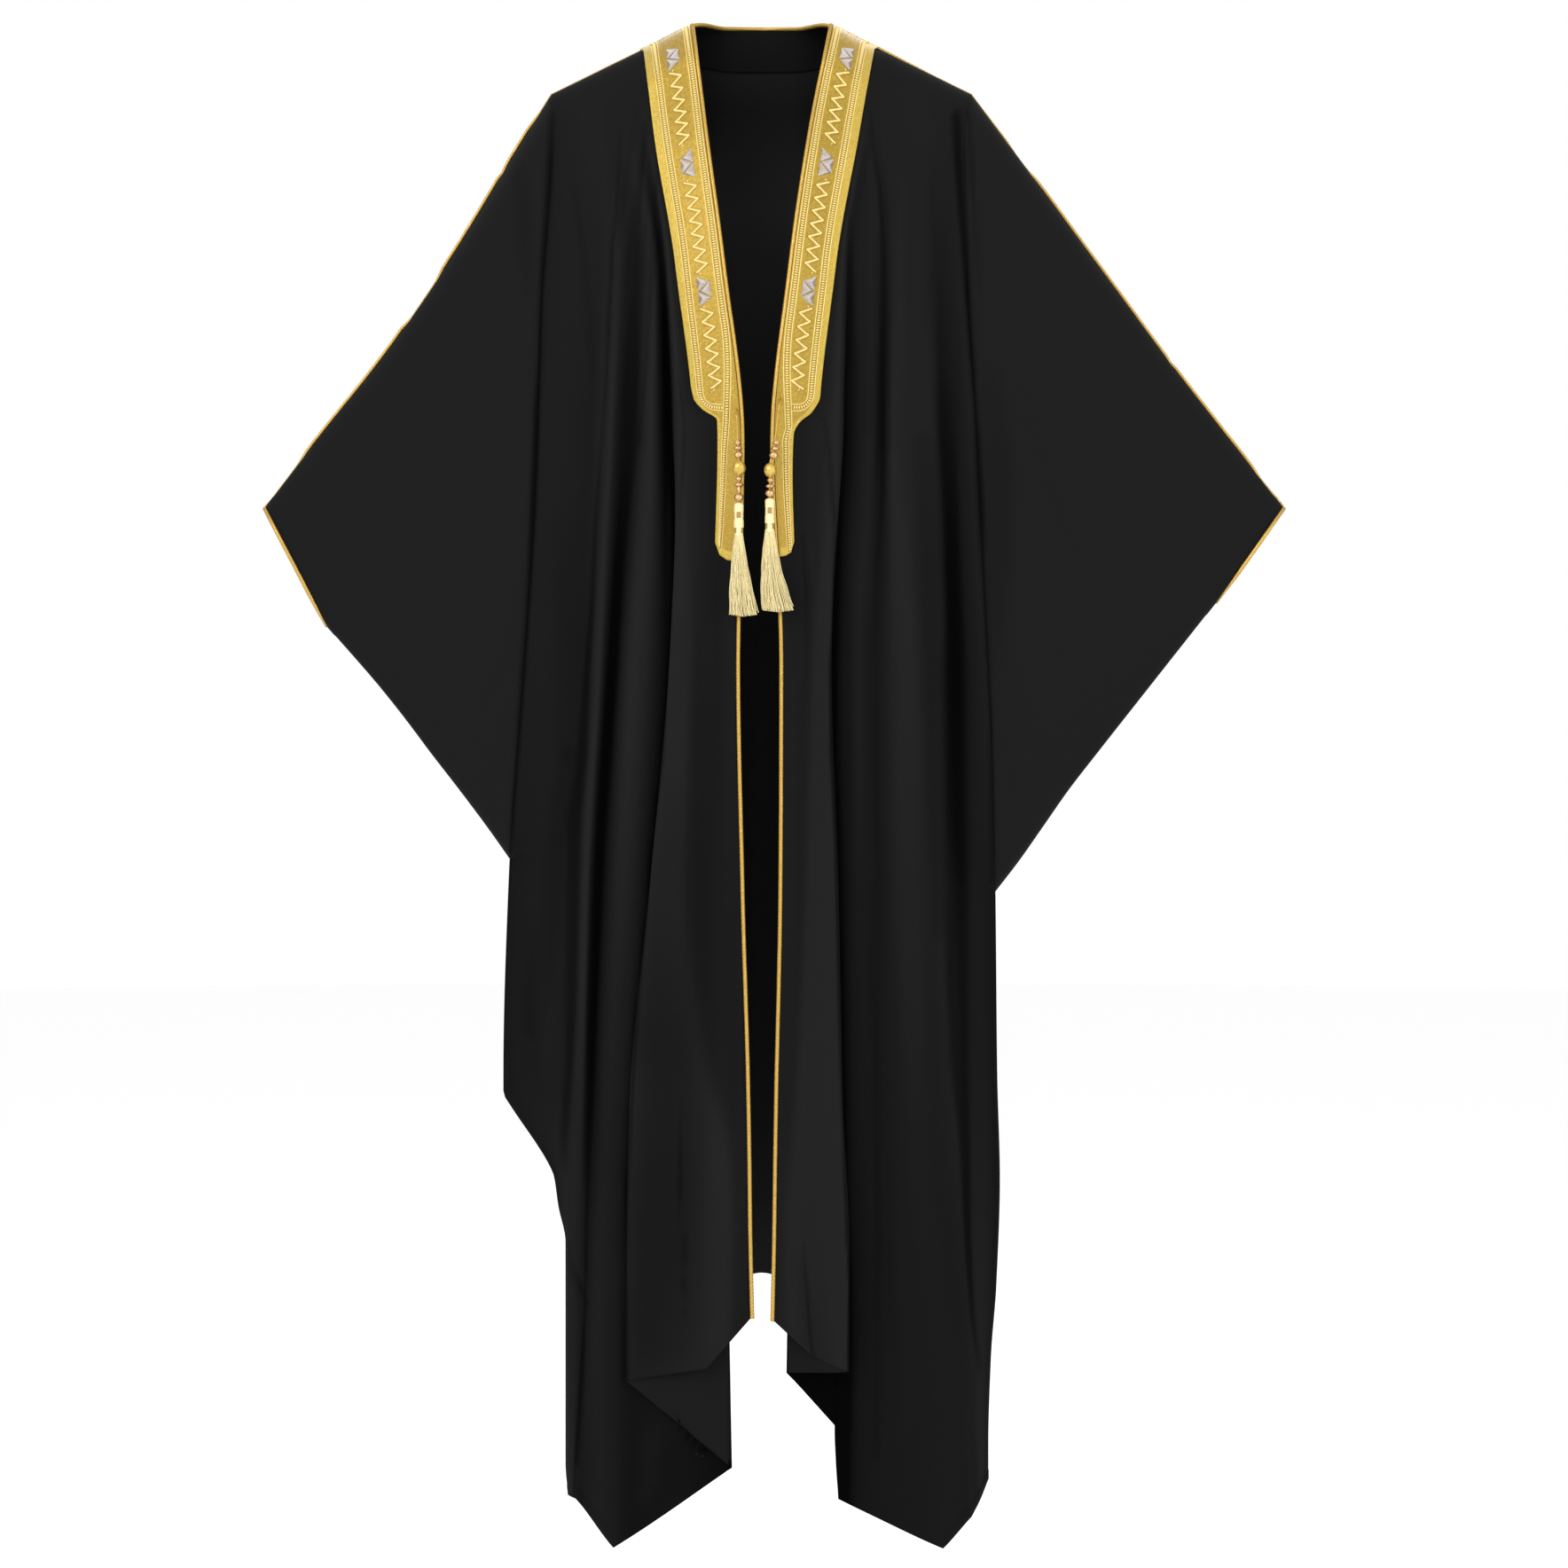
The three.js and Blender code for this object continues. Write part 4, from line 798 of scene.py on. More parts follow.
class FlatBand:
    # a band laid on cloth: points run down it by row and across it by column

    def __init__(self, points, normals, outline, inner):
        self.points, self.normals = points, normals
        step = np.linalg.norm(np.diff(points, axis=1), axis=-1)
        self.across = np.concatenate([np.zeros((len(points), 1)), np.cumsum(step, axis=1)], axis=1)
        run = np.linalg.norm(np.diff(points[:, 0], axis=0), axis=-1)
        self.down = np.concatenate([[0], np.cumsum(run)])
        self.flat = np.stack([self.across, np.broadcast_to(self.down[:, None], self.across.shape)], axis=-1)
        self.outline, self.inner = outline(self), inner(self)
        self.fromOuter = nearestGap(self.flat.reshape(-1, 2), self.outline).reshape(self.across.shape)
        self.fromInner = nearestGap(self.flat.reshape(-1, 2), self.inner).reshape(self.across.shape)

    def at(self, u, v):
        # the point, the way across, the way down and the way out at a flat place
        k = float(np.clip(np.interp(v, self.down, np.arange(len(self.down))), 0, len(self.down) - 1.001))
        row, part = int(k), k - int(k)
        found = []
        for table in (self.points, self.normals):
            ends = []
            for r in (row, row + 1):
                ends.append([np.interp(u, self.across[r], table[r, :, axis]) for axis in range(3)])
            found.append(lerp(np.array(ends[0]), np.array(ends[1]), part))
        return found[0], unit(found[1])

    def mesh(self, name, relief, tone, material, turned):
        outer = self.points + self.normals * relief[..., None]
        inner = self.points + self.normals * band["base"]
        quads = quadsOf(*relief.shape, turned)
        points, faces = shellOf(quads, outer, inner)
        return makeMesh(name, points, faces, material, tone=np.concatenate([tone.ravel()] * 2))


def resample(line, pitch):
    gaps = np.linalg.norm(np.diff(line, axis=0), axis=1)
    total = np.concatenate([[0], np.cumsum(gaps)])
    wanted = np.arange(pitch / 2, total[-1], pitch)
    places = np.stack([np.interp(wanted, total, line[:, k]) for k in range(2)], axis=-1)
    nexts = np.stack([np.interp(wanted + stitch["ahead"], total, line[:, k]) for k in range(2)], axis=-1)
    ways = nexts - places
    return places, unit(ways)


def offsetLine(line, gap):
    # a line at a steady distance beside the given one, on its other side where the gap is below zero
    ways = unit(np.gradient(line, axis=0))
    moved = line + np.stack([-ways[:, 1], ways[:, 0]], axis=-1) * gap
    clear = nearestGap(moved, line) > abs(gap) - 0.15
    return moved[clear]


def bandRelief(flatBand, zigzags, ladders):
    spots, shape = flatBand.flat.reshape(-1, 2), flatBand.fromOuter.shape
    gap = np.min([nearestGap(spots, resample(line, 1)[0]) for line in ladders], axis=0).reshape(shape)
    border = within(flatBand.fromOuter, band["borderWidth"], band["borderBlend"])
    bed = within(gap, band["ladderBed"], band["bedBlend"])
    line = ridgeAt(gap, band["ladderBed"] + band["lineGap"], band["lineGap"])
    crevice = ridgeAt(flatBand.fromInner, band["crevice"], band["crevice"])
    shadow = np.zeros(shape)
    for run in zigzags:
        beside = nearestGap(spots, run).reshape(shape)
        shadow = np.maximum(shadow, ridgeAt(beside, band["shadowAt"], band["shadowWidth"]))
    noise = np.clip(rng.normal(0, 1, shape), -2, 2)
    rise = (band["top"] + band["borderRaise"] * border - band["bedSink"] * bed + band["ridge"] * line
            - band["edgeDrop"] * within(flatBand.fromOuter, 0, band["edgeRound"]) ** 2
            - band["creviceSink"] * crevice + band["grain"] * noise)
    # the tone gives the border, field, ladder bed and line their colours, and paints shadow beside the zigzags and
    # shade in the crevice at the inner edge
    tone = lerp(bandTone["field"], bandTone["border"], border) + bandTone["grain"] * noise
    for share, name in ((shadow, "shadow"), (line, "line"), (bed, "bed"), (crevice, "crevice")):
        tone = lerp(tone, bandTone[name], share)
    return rise, np.clip(tone, 0, 1)


def zigzagLine(start, end, centre):
    half = band["zigzagPeriod"] / 2
    corners = np.arange(start, end + 0.1, half)
    side = np.where(np.arange(len(corners)) % 2 == 0, 1, -1)
    u = np.array([centre(v) for v in corners]) + side * band["zigzagReach"]
    line = np.stack([u, corners], axis=-1)
    fine = np.linspace(0, len(line) - 1, (len(line) - 1) * band["limbPoints"] + 1)
    return np.stack([np.interp(fine, np.arange(len(line)), line[:, k]) for k in range(2)], axis=-1)


def stitchRows(flatBand, places, ways, size):
    length, width, height, lift = size
    rows = []
    for (u, v), way in zip(places, ways):
        if u <= stitch["margin"] or not 0.3 < v < flatBand.down[-1] - 0.3:
            continue
        point, out = flatBand.at(u, v)
        ahead, _ = flatBand.at(*(np.array([u, v]) + way * stitch["ahead"]))
        rows.append((point + out * (band["top"] + lift), unit(ahead - point), out, (length, width, height)))
    return rows


def acrossOf(ways):
    return np.stack([-ways[:, 1], ways[:, 0]], axis=-1)


def silverStitches(flatBand, blocks):
    # each block is three triangles of level stitches, by their top, bottom, apex and the side of their base
    reach, rows = silverBlock["halfWidth"], []
    for u, v, flip in blocks:
        for top, bottom, apex, base in silverBlock["triangles"]:
            for b in np.arange(top + stitch["margin"], bottom, stitch["silverPitch"]):
                share = (b - top) / (apex - top) if b < apex else (bottom - b) / (bottom - apex)
                length = share * 2 * reach
                if length > stitch["silverLeast"]:
                    spot = np.array([u + flip * base * reach * (1 - share), v + b])
                    size = (length * stitch["silverReach"], *stitch["silver"])
                    rows += stitchRows(flatBand, [spot], [np.array([1.0, stitch["silverLean"] * base])], size)
    return rows


def goldStitches(flatBand, zigzags, ladders):
    rows = []
    for line in ladders:
        places, ways = resample(line, stitch["rungPitch"])
        rows += stitchRows(flatBand, places, acrossOf(ways), stitch["rung"])
    for line in zigzags:
        places, ways = resample(line, band["zigzagStep"])
        ways = unit(ways + stitch["zigzagLean"] * acrossOf(ways))
        rows += stitchRows(flatBand, places, ways, stitch["zigzag"])
        for bend, corner in enumerate(range(0, len(line), band["limbPoints"])):  # a tuft inside each bend
            side = -1 if bend % 2 == 0 else 1
            for turn in ((side, -1), (side, 1)):
                spot = line[corner] + np.array(stitch["tuftPlace"]) * turn
                way = unit(np.array(stitch["tuftWay"]) * turn)
                rows += stitchRows(flatBand, [spot], [way], stitch["tuft"])
    return rows


def couchLines(name, flatBand, lines):
    # threads that run beside the ladders
    points, edges = [], []
    size = stitch["line"]
    for line in lines:
        places, _ = resample(line, size["pitch"])
        first = len(points)
        for u, v in places:
            point, out = flatBand.at(u, v)
            points.append(point + out * (band["top"] + size["lift"]))
        edges += [(first + a, first + b) for a, b in chain(len(places))]
    return growMesh(name, points, edges, {}, threadTree, materials["stitch"], radius=size["radius"] / 1000,
                    sides=size["sides"])


def growTree(name, sizes, build):
    # a node tree with named inputs that ends in Realize Instances and Set Material
    tree = bpy.data.node_groups.new(name, "GeometryNodeTree")
    tree.interface.new_socket("Geometry", in_out="INPUT", socket_type="NodeSocketGeometry")
    for label, kind in sizes:
        tree.interface.new_socket(label, in_out="INPUT", socket_type="NodeSocket" + kind)
    tree.interface.new_socket("Material", in_out="INPUT", socket_type="NodeSocketMaterial")
    tree.interface.new_socket("Geometry", in_out="OUTPUT", socket_type="NodeSocketGeometry")
    given = tree.nodes.new("NodeGroupInput").outputs
    result = tree.nodes.new("NodeGroupOutput")

    def node(kind, settings=None, inputs=None, output=0):
        made = tree.nodes.new(kind)
        for key, setting in (settings or {}).items():
            setattr(made, key, setting)
        for key, value in (inputs or {}).items():
            if isinstance(value, bpy.types.NodeSocket):
                tree.links.new(value, made.inputs[key])
            else:
                made.inputs[key].default_value = value
        return made.outputs[output]

    shape = build(node, given)
    real = node("GeometryNodeRealizeInstances", inputs={"Geometry": shape})
    smoothed = node("GeometryNodeSetShadeSmooth", inputs={"Geometry": real})
    finished = node("GeometryNodeSetMaterial", inputs={"Geometry": smoothed, "Material": given["Material"]})
    tree.links.new(finished, result.inputs[0])
    return tree


def growMesh(name, points, edges, attributes, tree, material, **sizes):
    seed = bpy.data.meshes.new(name + "_path")
    seed.from_pydata((np.asarray(points) / 1000).tolist(), [tuple(map(int, edge)) for edge in edges], [])
    for key, values in attributes.items():
        kind = "FLOAT_VECTOR" if np.ndim(values) == 2 else "FLOAT"
        layer = seed.attributes.new(key, kind, "POINT")
        layer.data.foreach_set("vector" if kind == "FLOAT_VECTOR" else "value", np.ravel(values))
    path = bpy.data.objects.new(name + "_path", seed)
    scene.collection.objects.link(path)
    modifier = path.modifiers.new("grow", "NODES")
    modifier.node_group = tree
    settings = {"Material": material, **{key.capitalize(): value for key, value in sizes.items()}}
    for item in tree.interface.items_tree:
        if item.item_type == "SOCKET" and item.in_out == "INPUT" and item.name in settings:
            modifier[item.identifier] = settings[item.name]
    shape = bpy.data.meshes.new_from_object(path.evaluated_get(bpy.context.evaluated_depsgraph_get()))
    bpy.data.objects.remove(path)
    shape.name = name
    made = bpy.data.objects.new(name, shape)
    scene.collection.objects.link(made)
    return made


def buildStitches(node, given):
    def read(label):
        return node("GeometryNodeInputNamedAttribute", {"data_type": "FLOAT_VECTOR"}, {"Name": label})

    along = node("FunctionNodeAlignRotationToVector", {"axis": "X"}, {"Vector": read("along")})
    turned = node("FunctionNodeAlignRotationToVector", {"axis": "Z", "pivot_axis": "X"},
                  {"Rotation": along, "Vector": read("out")})
    grain = node("GeometryNodeMeshIcoSphere", inputs={"Radius": 0.5, "Subdivisions": given["Detail"]})
    return node("GeometryNodeInstanceOnPoints", inputs={
        "Points": given["Geometry"], "Instance": grain, "Rotation": turned, "Scale": read("size")})


def buildRope(node, given):
    # a lobed section swept along the path and turned as it goes
    curve = node("GeometryNodeMeshToCurve", inputs={"Mesh": given["Geometry"]})
    length = node("GeometryNodeSplineParameter", output=1)
    turn = node("ShaderNodeMath", {"operation": "DIVIDE"}, {0: length, 1: given["Lay"]})
    angle = node("ShaderNodeMath", {"operation": "MULTIPLY"}, {0: turn, 1: 2 * math.pi})
    tilted = node("GeometryNodeSetCurveTilt", inputs={"Curve": curve, "Tilt": angle})
    inner = node("ShaderNodeMath", {"operation": "MULTIPLY"}, {0: given["Radius"], 1: given["Groove"]})
    section = node("GeometryNodeCurveStar", inputs={
        "Points": given["Strands"], "Inner Radius": inner, "Outer Radius": given["Radius"]})
    inputs = {"Curve": tilted, "Profile Curve": section, "Fill Caps": True}
    return node("GeometryNodeCurveToMesh", inputs=inputs)


def buildThreads(node, given):
    curve = node("GeometryNodeMeshToCurve", inputs={"Mesh": given["Geometry"]})
    section = node("GeometryNodeCurvePrimitiveCircle", inputs={
        "Resolution": given["Sides"], "Radius": given["Radius"]})
    return node("GeometryNodeCurveToMesh", inputs={"Curve": curve, "Profile Curve": section, "Fill Caps": True})


stitchTree = growTree("stitches", [("Detail", "Int")], buildStitches)
ropeTree = growTree("rope", [("Radius", "Float"), ("Groove", "Float"), ("Strands", "Int"), ("Lay", "Float")],
                    buildRope)
threadTree = growTree("threads", [("Radius", "Float"), ("Sides", "Int")], buildThreads)


def finishBand(name, flatBand, zigzags, blocks, ladders, turned):
    relief, tone = bandRelief(flatBand, zigzags, ladders)
    made = flatBand.mesh("zari_band_" + name + "_cloth", relief, tone, materials["zari"], turned)
    sewn = [sewStitches("zari_stitches_" + name, goldStitches(flatBand, zigzags, ladders), materials["stitch"])]
    if blocks:
        silver = silverStitches(flatBand, blocks)
        sewn.append(sewStitches("silver_stitches_" + name, silver, materials["silver"]))
    beside = band["ladderBed"] + band["lineGap"]
    lines = [offsetLine(line, side * beside) for line in ladders for side in (-1, 1)]
    sewn.append(couchLines("zari_lines_" + name, flatBand, lines))
    return made, sewn, flatBand


def fieldMiddle(width):
    return (band["innerLadder"] + width - band["outerLadder"]) / 2


def sewStitches(name, rows, material):
    points, along, out, size = (np.array(part, float) for part in zip(*rows))
    attributes = {"along": along, "out": out, "size": size / 1000}
    return growMesh(name, points, [], attributes, stitchTree, material, detail=stitch["detail"])


blackCloth = {"colour": (0.0088, 0.0088, 0.0089), "roughness": 0.85, "specular": 0.035, "weave": 0.00035,
              "bump": 0.25, "depth": 0.0004, "toneRange": 5}
finishes = {
    "zari": {"metallic": 0.5, "roughness": 0.44, "grain": 1300, "bump": 0.22, "tone": True,
             "colours": {"light": (0.74, 0.55, 0.15), "middle": (0.50, 0.345, 0.04), "dark": (0.26, 0.135, 0.01)}},
    "stitch": {"metallic": 0.35, "roughness": 0.36, "grain": 1500, "bump": 0.12,
               "colours": {"light": (1.0, 0.90, 0.52), "middle": (0.88, 0.69, 0.25), "dark": (0.56, 0.37, 0.08)}},
    "gilt": {"metallic": 0.6, "roughness": 0.36, "grain": 420, "bump": 0.35,
             "colours": {"light": (0.90, 0.68, 0.24), "middle": (0.66, 0.44, 0.09), "dark": (0.36, 0.20, 0.03)}},
    "cord": {"metallic": 0.55, "roughness": 0.38, "grain": 700, "bump": 0.15,
             "colours": {"light": (0.80, 0.57, 0.19), "middle": (0.60, 0.37, 0.07), "dark": (0.34, 0.17, 0.02)}},
    "silver": {"metallic": 0.5, "roughness": 0.4, "grain": 1300, "bump": 0.15,
               "colours": {"light": (0.78, 0.73, 0.70), "middle": (0.60, 0.54, 0.51), "dark": (0.38, 0.33, 0.30)}},
    "bead": {"metallic": 0.85, "roughness": 0.24, "grain": 300, "bump": 0.08,
             "colours": {"light": (0.90, 0.66, 0.40), "middle": (0.70, 0.45, 0.22), "dark": (0.40, 0.22, 0.08)}},
    "tassel": {"metallic": 0.25, "roughness": 0.3, "grain": 620, "bump": 0.08,
               "colours": {"light": (1.0, 0.94, 0.66), "middle": (0.88, 0.76, 0.40), "dark": (0.50, 0.36, 0.10)}},
    "tassel_head": {
        "metallic": 0.1, "roughness": 0.4, "grain": 900, "bump": 0.08, "tone": True,
        "colours": {"light": (1.0, 0.90, 0.55), "middle": (0.95, 0.80, 0.42), "dark": (0.32, 0.20, 0.03)}},
}


def makeBlackCloth():
    shader = Shader("black_cloth")
    # the cloth's colour is scaled by its tone, which carries painted shade and painted light
    tone = shader.node("ShaderNodeAttribute", {"attribute_name": "tone"}, output=2)
    lightest = tuple(part * blackCloth["toneRange"] for part in blackCloth["colour"])
    shader.set(baseColor=shader.mix(tone * (1 / blackCloth["toneRange"]), (0.0, 0.0, 0.0), lightest),
               roughness=blackCloth["roughness"])
    shader.surface.inputs["Specular IOR Level"].default_value = blackCloth["specular"]
    weave = shader.noise(1 / blackCloth["weave"] / 4, 2.0)
    shader.set(normal=shader.bump(weave, blackCloth["bump"], blackCloth["depth"]))
    return shader.material


# how the golds vary: from and to on a noise, and how much of the colour changes
goldPattern = {"lights": (0.52, 0.68, 0.7), "darks": (0.46, 0.32, 0.5), "warm": (0.35, 0.65, 0.25),
               "patches": 60.0, "depth": 0.0006}


def makeGold(name):
    finish = finishes[name]
    colours = finish["colours"]
    shader = Shader(name)
    speckle = shader.noise(finish["grain"], 2.0)
    patches = shader.noise(goldPattern["patches"], 3.0)
    body = colours["middle"]
    layers = ("lights", speckle, "light"), ("darks", speckle, "dark"), ("warm", patches, "middle")
    for part, noise, colour in layers:
        start, end, most = goldPattern[part]
        share = shader.node("ShaderNodeMapRange", inputs={"Value": noise, 1: start, 2: end})
        body = shader.mix(share * most, body, colours[colour])
    # the tone lightens and darkens the colour: on the band it carries painted shadow and painted shade beside its
    # pattern, on the tassel head its checks
    if finish.get("tone"):
        tone = shader.node("ShaderNodeAttribute", {"attribute_name": "tone"}, output=2)
        body = shader.mix(tone * 2 - 1, body, colours["light"])
        body = shader.mix(1 - tone * 2, body, colours["dark"])
    shader.set(baseColor=body, metallic=finish["metallic"], roughness=finish["roughness"])
    shader.set(normal=shader.bump(speckle, finish["bump"], goldPattern["depth"]))
    return shader.material


materials = {name: makeGold(name) for name in finishes}
clothPieces, clothSurfaces = makeCloth(makeBlackCloth())
print("cloth ready")


def bandGrid(sideName):
    # the band's own grid: across in even steps, and down to an end that rounds its outer corner
    rows = np.linspace(0, band["rows"], band["rowSteps"])
    columns, steps = int(band["width"] / band["pitch"]), int(band["length"] / band["pitch"])
    surface = creased(frontSurface(sideName, rows, [(0, f) for f in np.linspace(0, 1, columns)]))
    quads = quadsOf(*surface.shape[:2], sideName == "right")
    normals = unit(pointNormals(surface.reshape(-1, 3), quads)).reshape(surface.shape)
    tip = cloak["shoulderRight"] if sideName == "right" else cloak["shoulderLeft"]
    normals[0] = unit(np.array([-cloak["shoulderHeight"] * np.sign(tip), 0, abs(tip) - cloak["neckHalfWidth"]]))
    _, heights = sighted(surface)
    ends = np.array(band[sideName + "End"], float)
    places, outs = [], []
    for j in range(columns):
        low = np.interp(j / (columns - 1), ends[:, 0], ends[:, 1])
        share = np.linspace(0, 1, steps)
        wanted = lerp(heights[0, j], low, share)
        column = [np.interp(-wanted, -heights[:, j], surface[:, j, axis]) for axis in range(3)]
        out = [np.interp(-wanted, -heights[:, j], normals[:, j, axis]) for axis in range(3)]
        places.append(np.stack(column, axis=-1))
        outs.append(np.stack(out, axis=-1))
    return np.stack(places, axis=1), unit(np.stack(outs, axis=1))


def frontOutline(flatBand):
    side = flatBand.flat[:, -1]
    foot = flatBand.flat[-1, ::-1]
    return np.concatenate([side, foot])


def makeFrontBand(sideName):
    points, normals = bandGrid(sideName)
    flatBand = FlatBand(points, normals, frontOutline, lambda laid: laid.flat[:, 0])
    _, heights = sighted(points[:, 0])
    widths = flatBand.across[:, -1]

    def downTo(height):
        return float(np.interp(-height, -heights, flatBand.down))

    def centre(v):
        return fieldMiddle(np.interp(v, flatBand.down, widths))

    middles = [downTo(z) for z, _ in band["silver"]]
    blocks = [(centre(v), v, flip) for v, (_, flip) in zip(middles, band["silver"])]
    starts = [v + band["silverRoom"] for v in middles]
    ends = [v - band["silverRoom"] for v in middles[1:]] + [downTo(band["zigzagTo"])]
    zigzags = [zigzagLine(start, end, centre) for start, end in zip(starts, ends)]
    # one ladder rounds the foot of the wide part, and the other runs straight on down the narrow part
    foot, turn = downTo(band["closeAt"]), band["closeTurn"]
    outside = offsetLine(flatBand.outline, band["outerLadder"])
    outside = outside[outside[:, 1] < foot - turn]
    angle = np.linspace(0, np.pi / 2, 24)
    corner = np.stack([outside[-1, 0] - turn * (1 - np.cos(angle)), foot - turn * (1 - np.sin(angle))], axis=-1)
    down = np.linspace(band["narrowFrom"], downTo(band["narrowTo"]), 400)
    below = np.maximum(down, foot + band["narrowBelow"])
    narrow = np.interp(below, flatBand.down, widths) - band["outerLadder"]
    inside = lerp(band["innerLadder"], narrow, smooth(*(foot + part for part in band["narrowBlend"]), down))
    beside = band["closeShort"] * (band["ladderBed"] + band["lineGap"])
    closing = np.array([[np.interp(foot, down, inside) + beside, foot]])
    ladders = [np.concatenate([outside, corner, closing]), np.stack([inside, down], axis=-1)]
    return finishBand(sideName, flatBand, zigzags, blocks, ladders, sideName == "right")


bands = {sideName: makeFrontBand(sideName) for sideName in ("left", "right")}
print("front bands ready")


neckBand = {"rows": 0.05, "rowSteps": 38, "segments": (3, 9), "perSegment": 34,
            "zigzagEnd": 22, "zigzagShift": 1}
neckFacing = {"rowSteps": 20, "segments": (4, 8), "perSegment": 16, "lift": 1.0, "thickness": 0.9}


def neckGrid(part):
    fractions = np.linspace(0, 1, part["perSegment"], endpoint=False)
    stops = [(k, f) for k in range(*part["segments"]) for f in fractions] + [(part["segments"][1] - 1, 1.0)]
    surface = backSurface(np.linspace(0, neckBand["rows"], part["rowSteps"]), stops)
    normals = unit(pointNormals(surface.reshape(-1, 3), quadsOf(*surface.shape[:2]))).reshape(surface.shape)
    return surface, normals


def makeNeckBand():
    surface, normals = neckGrid(neckBand)
    points, outs = surface.transpose(1, 0, 2), normals.transpose(1, 0, 2)
    count = len(points)
    sixth = count // 6  # the neck's edge begins and ends this far from the ends of the band

    def outline(laid):
        return np.concatenate([laid.flat[0], laid.flat[:, -1], laid.flat[-1, ::-1]])

    flatBand = FlatBand(points, outs, outline, lambda laid: laid.flat[sixth: count - sixth, 0])
    length = flatBand.down[-1]
    middle = fieldMiddle(flatBand.across[count // 2, -1]) + neckBand["zigzagShift"]
    end = neckBand["zigzagEnd"]
    zigzags = [zigzagLine(end, length - end, lambda v: middle)]
    level = np.linspace(length / 6, length * 5 / 6, 200)
    ladders = [offsetLine(flatBand.outline, -band["outerLadder"]),
               np.stack([np.full(200, band["innerLadder"]), level], axis=-1)]
    return finishBand("back", flatBand, zigzags, [], ladders, True)


def makeFacing(material):
    surface, normals = neckGrid(neckFacing)
    outer = surface - normals * neckFacing["lift"]
    inner = surface - normals * (neckFacing["lift"] + neckFacing["thickness"])
    points, faces = shellOf(quadsOf(*surface.shape[:2]), outer, inner)
    # the facing's tone is painted a little darker than the outside cloth
    tone = np.full(len(points), clothLight["facing"])
    return makeMesh("neck_facing_cloth", points, faces, material, tone=tone)


bands["back"] = makeNeckBand()
facing = makeFacing(clothPieces["back_panel"].data.materials[0])
print("neck ready")

edging = {
    "radius": 2.5, "seat": 2.15, "neckSeat": 1.9, "besideBand": 0.5, "besideBlend": (-10, 20),
    "groove": 0.88, "strands": 4, "lay": 15, "pitch": 1.3, "wander": 0.3, "neckPitch": 1.0, "neckShort": 2,
}
shoulderEdging = {"radius": 2.1, "seat": 2.3, "sink": 2.7, "back": 1.5, "wander": 0.6}


def growRope(name, path, closed, radius, groove, strands, lay):
    return growMesh(name + "_rope", path, chain(len(path), closed), {}, ropeTree, materials["cord"],
                    radius=radius / 1000, groove=groove, strands=strands, lay=lay / 1000)


def ropeAlong(name, points, radius, looseness=0.0, closed=False):
    path, _ = evenPath(np.asarray(points, float), edging["pitch"], closed)
    wander = np.cumsum(rng.normal(0, 1, path.shape), axis=0)
    wander -= np.linspace(0, 1, len(path))[:, None] * wander[-1]
    path = path + looseness * wander / max(np.abs(wander).max(), 1e-6)
    return growRope(name, path, closed, radius, edging["groove"], edging["strands"], edging["lay"])


def besideEdge(edge, inner, seat=edging["seat"]):
    away = edge - inner
    ways = unit(np.gradient(edge, axis=0))
    away = unit(away - ways * (away * ways).sum(-1, keepdims=True))
    return edge + away * seat


def frontEdging(sideName):
    grid, normals = clothSurfaces["front_panel_" + sideName]
    path = besideEdge(grid[:, 0], grid[:, 2])
    low, high = (-band["leftEnd"][0][0] + part for part in edging["besideBlend"])
    beside = 1 - smooth(low, high, -grid[:, 0, 2])
    path = path + normals[:, 0] * (edging["besideBand"] * beside)[:, None]
    return ropeAlong("front_cord_" + sideName, path, edging["radius"], edging["wander"])


def shoulderEdge(sideName):
    front, frontOuts = clothSurfaces["front_panel_" + sideName]
    sleeve, sleeveOuts = clothSurfaces["sleeve_" + sideName]
    begin = foldSteps[sideName][0]
    seam = np.concatenate([front[0, begin:], sleeve[1:, 0]])
    out = np.concatenate([frontOuts[0, begin:], sleeveOuts[1:, 0]])
    run = np.concatenate([[0], np.cumsum(np.linalg.norm(np.diff(seam, axis=0), axis=1))])
    hide = np.interp(run, *np.array(shoulderRun[sideName], float).T)
    path = seam + out * (shoulderEdging["seat"] - shoulderEdging["sink"] * hide)[:, None]
    path[:, 1] += shoulderEdging["back"] * hide
    return ropeAlong("shoulder_cord_" + sideName, path, shoulderEdging["radius"], shoulderEdging["wander"])


def cuffEdging(sideName):
    sleeve, _ = clothSurfaces["sleeve_" + sideName]
    edge, inner = (np.concatenate([sleeve[row], sleeve[row, :1]]) for row in (-1, -3))
    path = besideEdge(edge, inner)[:-1]
    return ropeAlong("cuff_cord_" + sideName, path, edging["radius"], edging["wander"], closed=True)


def makeEdgings():
    made = {}
    for sideName in ("left", "right"):
        made["front_cord_" + sideName] = frontEdging(sideName)
        made["shoulder_cord_" + sideName] = shoulderEdge(sideName)
        made["cuff_cord_" + sideName] = cuffEdging(sideName)
    surface, _ = neckGrid(neckFacing)
    path, _ = evenPath(besideEdge(surface[0], surface[1], edging["neckSeat"]), edging["neckPitch"])
    short = edging["neckShort"]
    made["neck_cord"] = ropeAlong("neck_cord", path[short:-short], edging["radius"])
    return made


# how far the shoulder cord sinks into the seam, by its distance along it
shoulderRun = {
    "left": ((0, 1), (135, 1), (160, 0.1), (205, 0), (216, 0.6), (226, 0), (345, 0.1), (360, 1), (412, 1),
             (426, 0.1), (600, 0.2), (622, 1), (668, 1), (690, 0.4)),
    "right": ((0, 0.5), (70, 0.9), (125, 0.8), (186, 0.6), (196, 1), (222, 1), (240, 0.1), (440, 0.2), (484, 0.2),
              (492, 0.7), (500, 0.1), (640, 0.2), (662, 1), (690, 0.6)),
}
edgings = makeEdgings()
print("edgings ready")

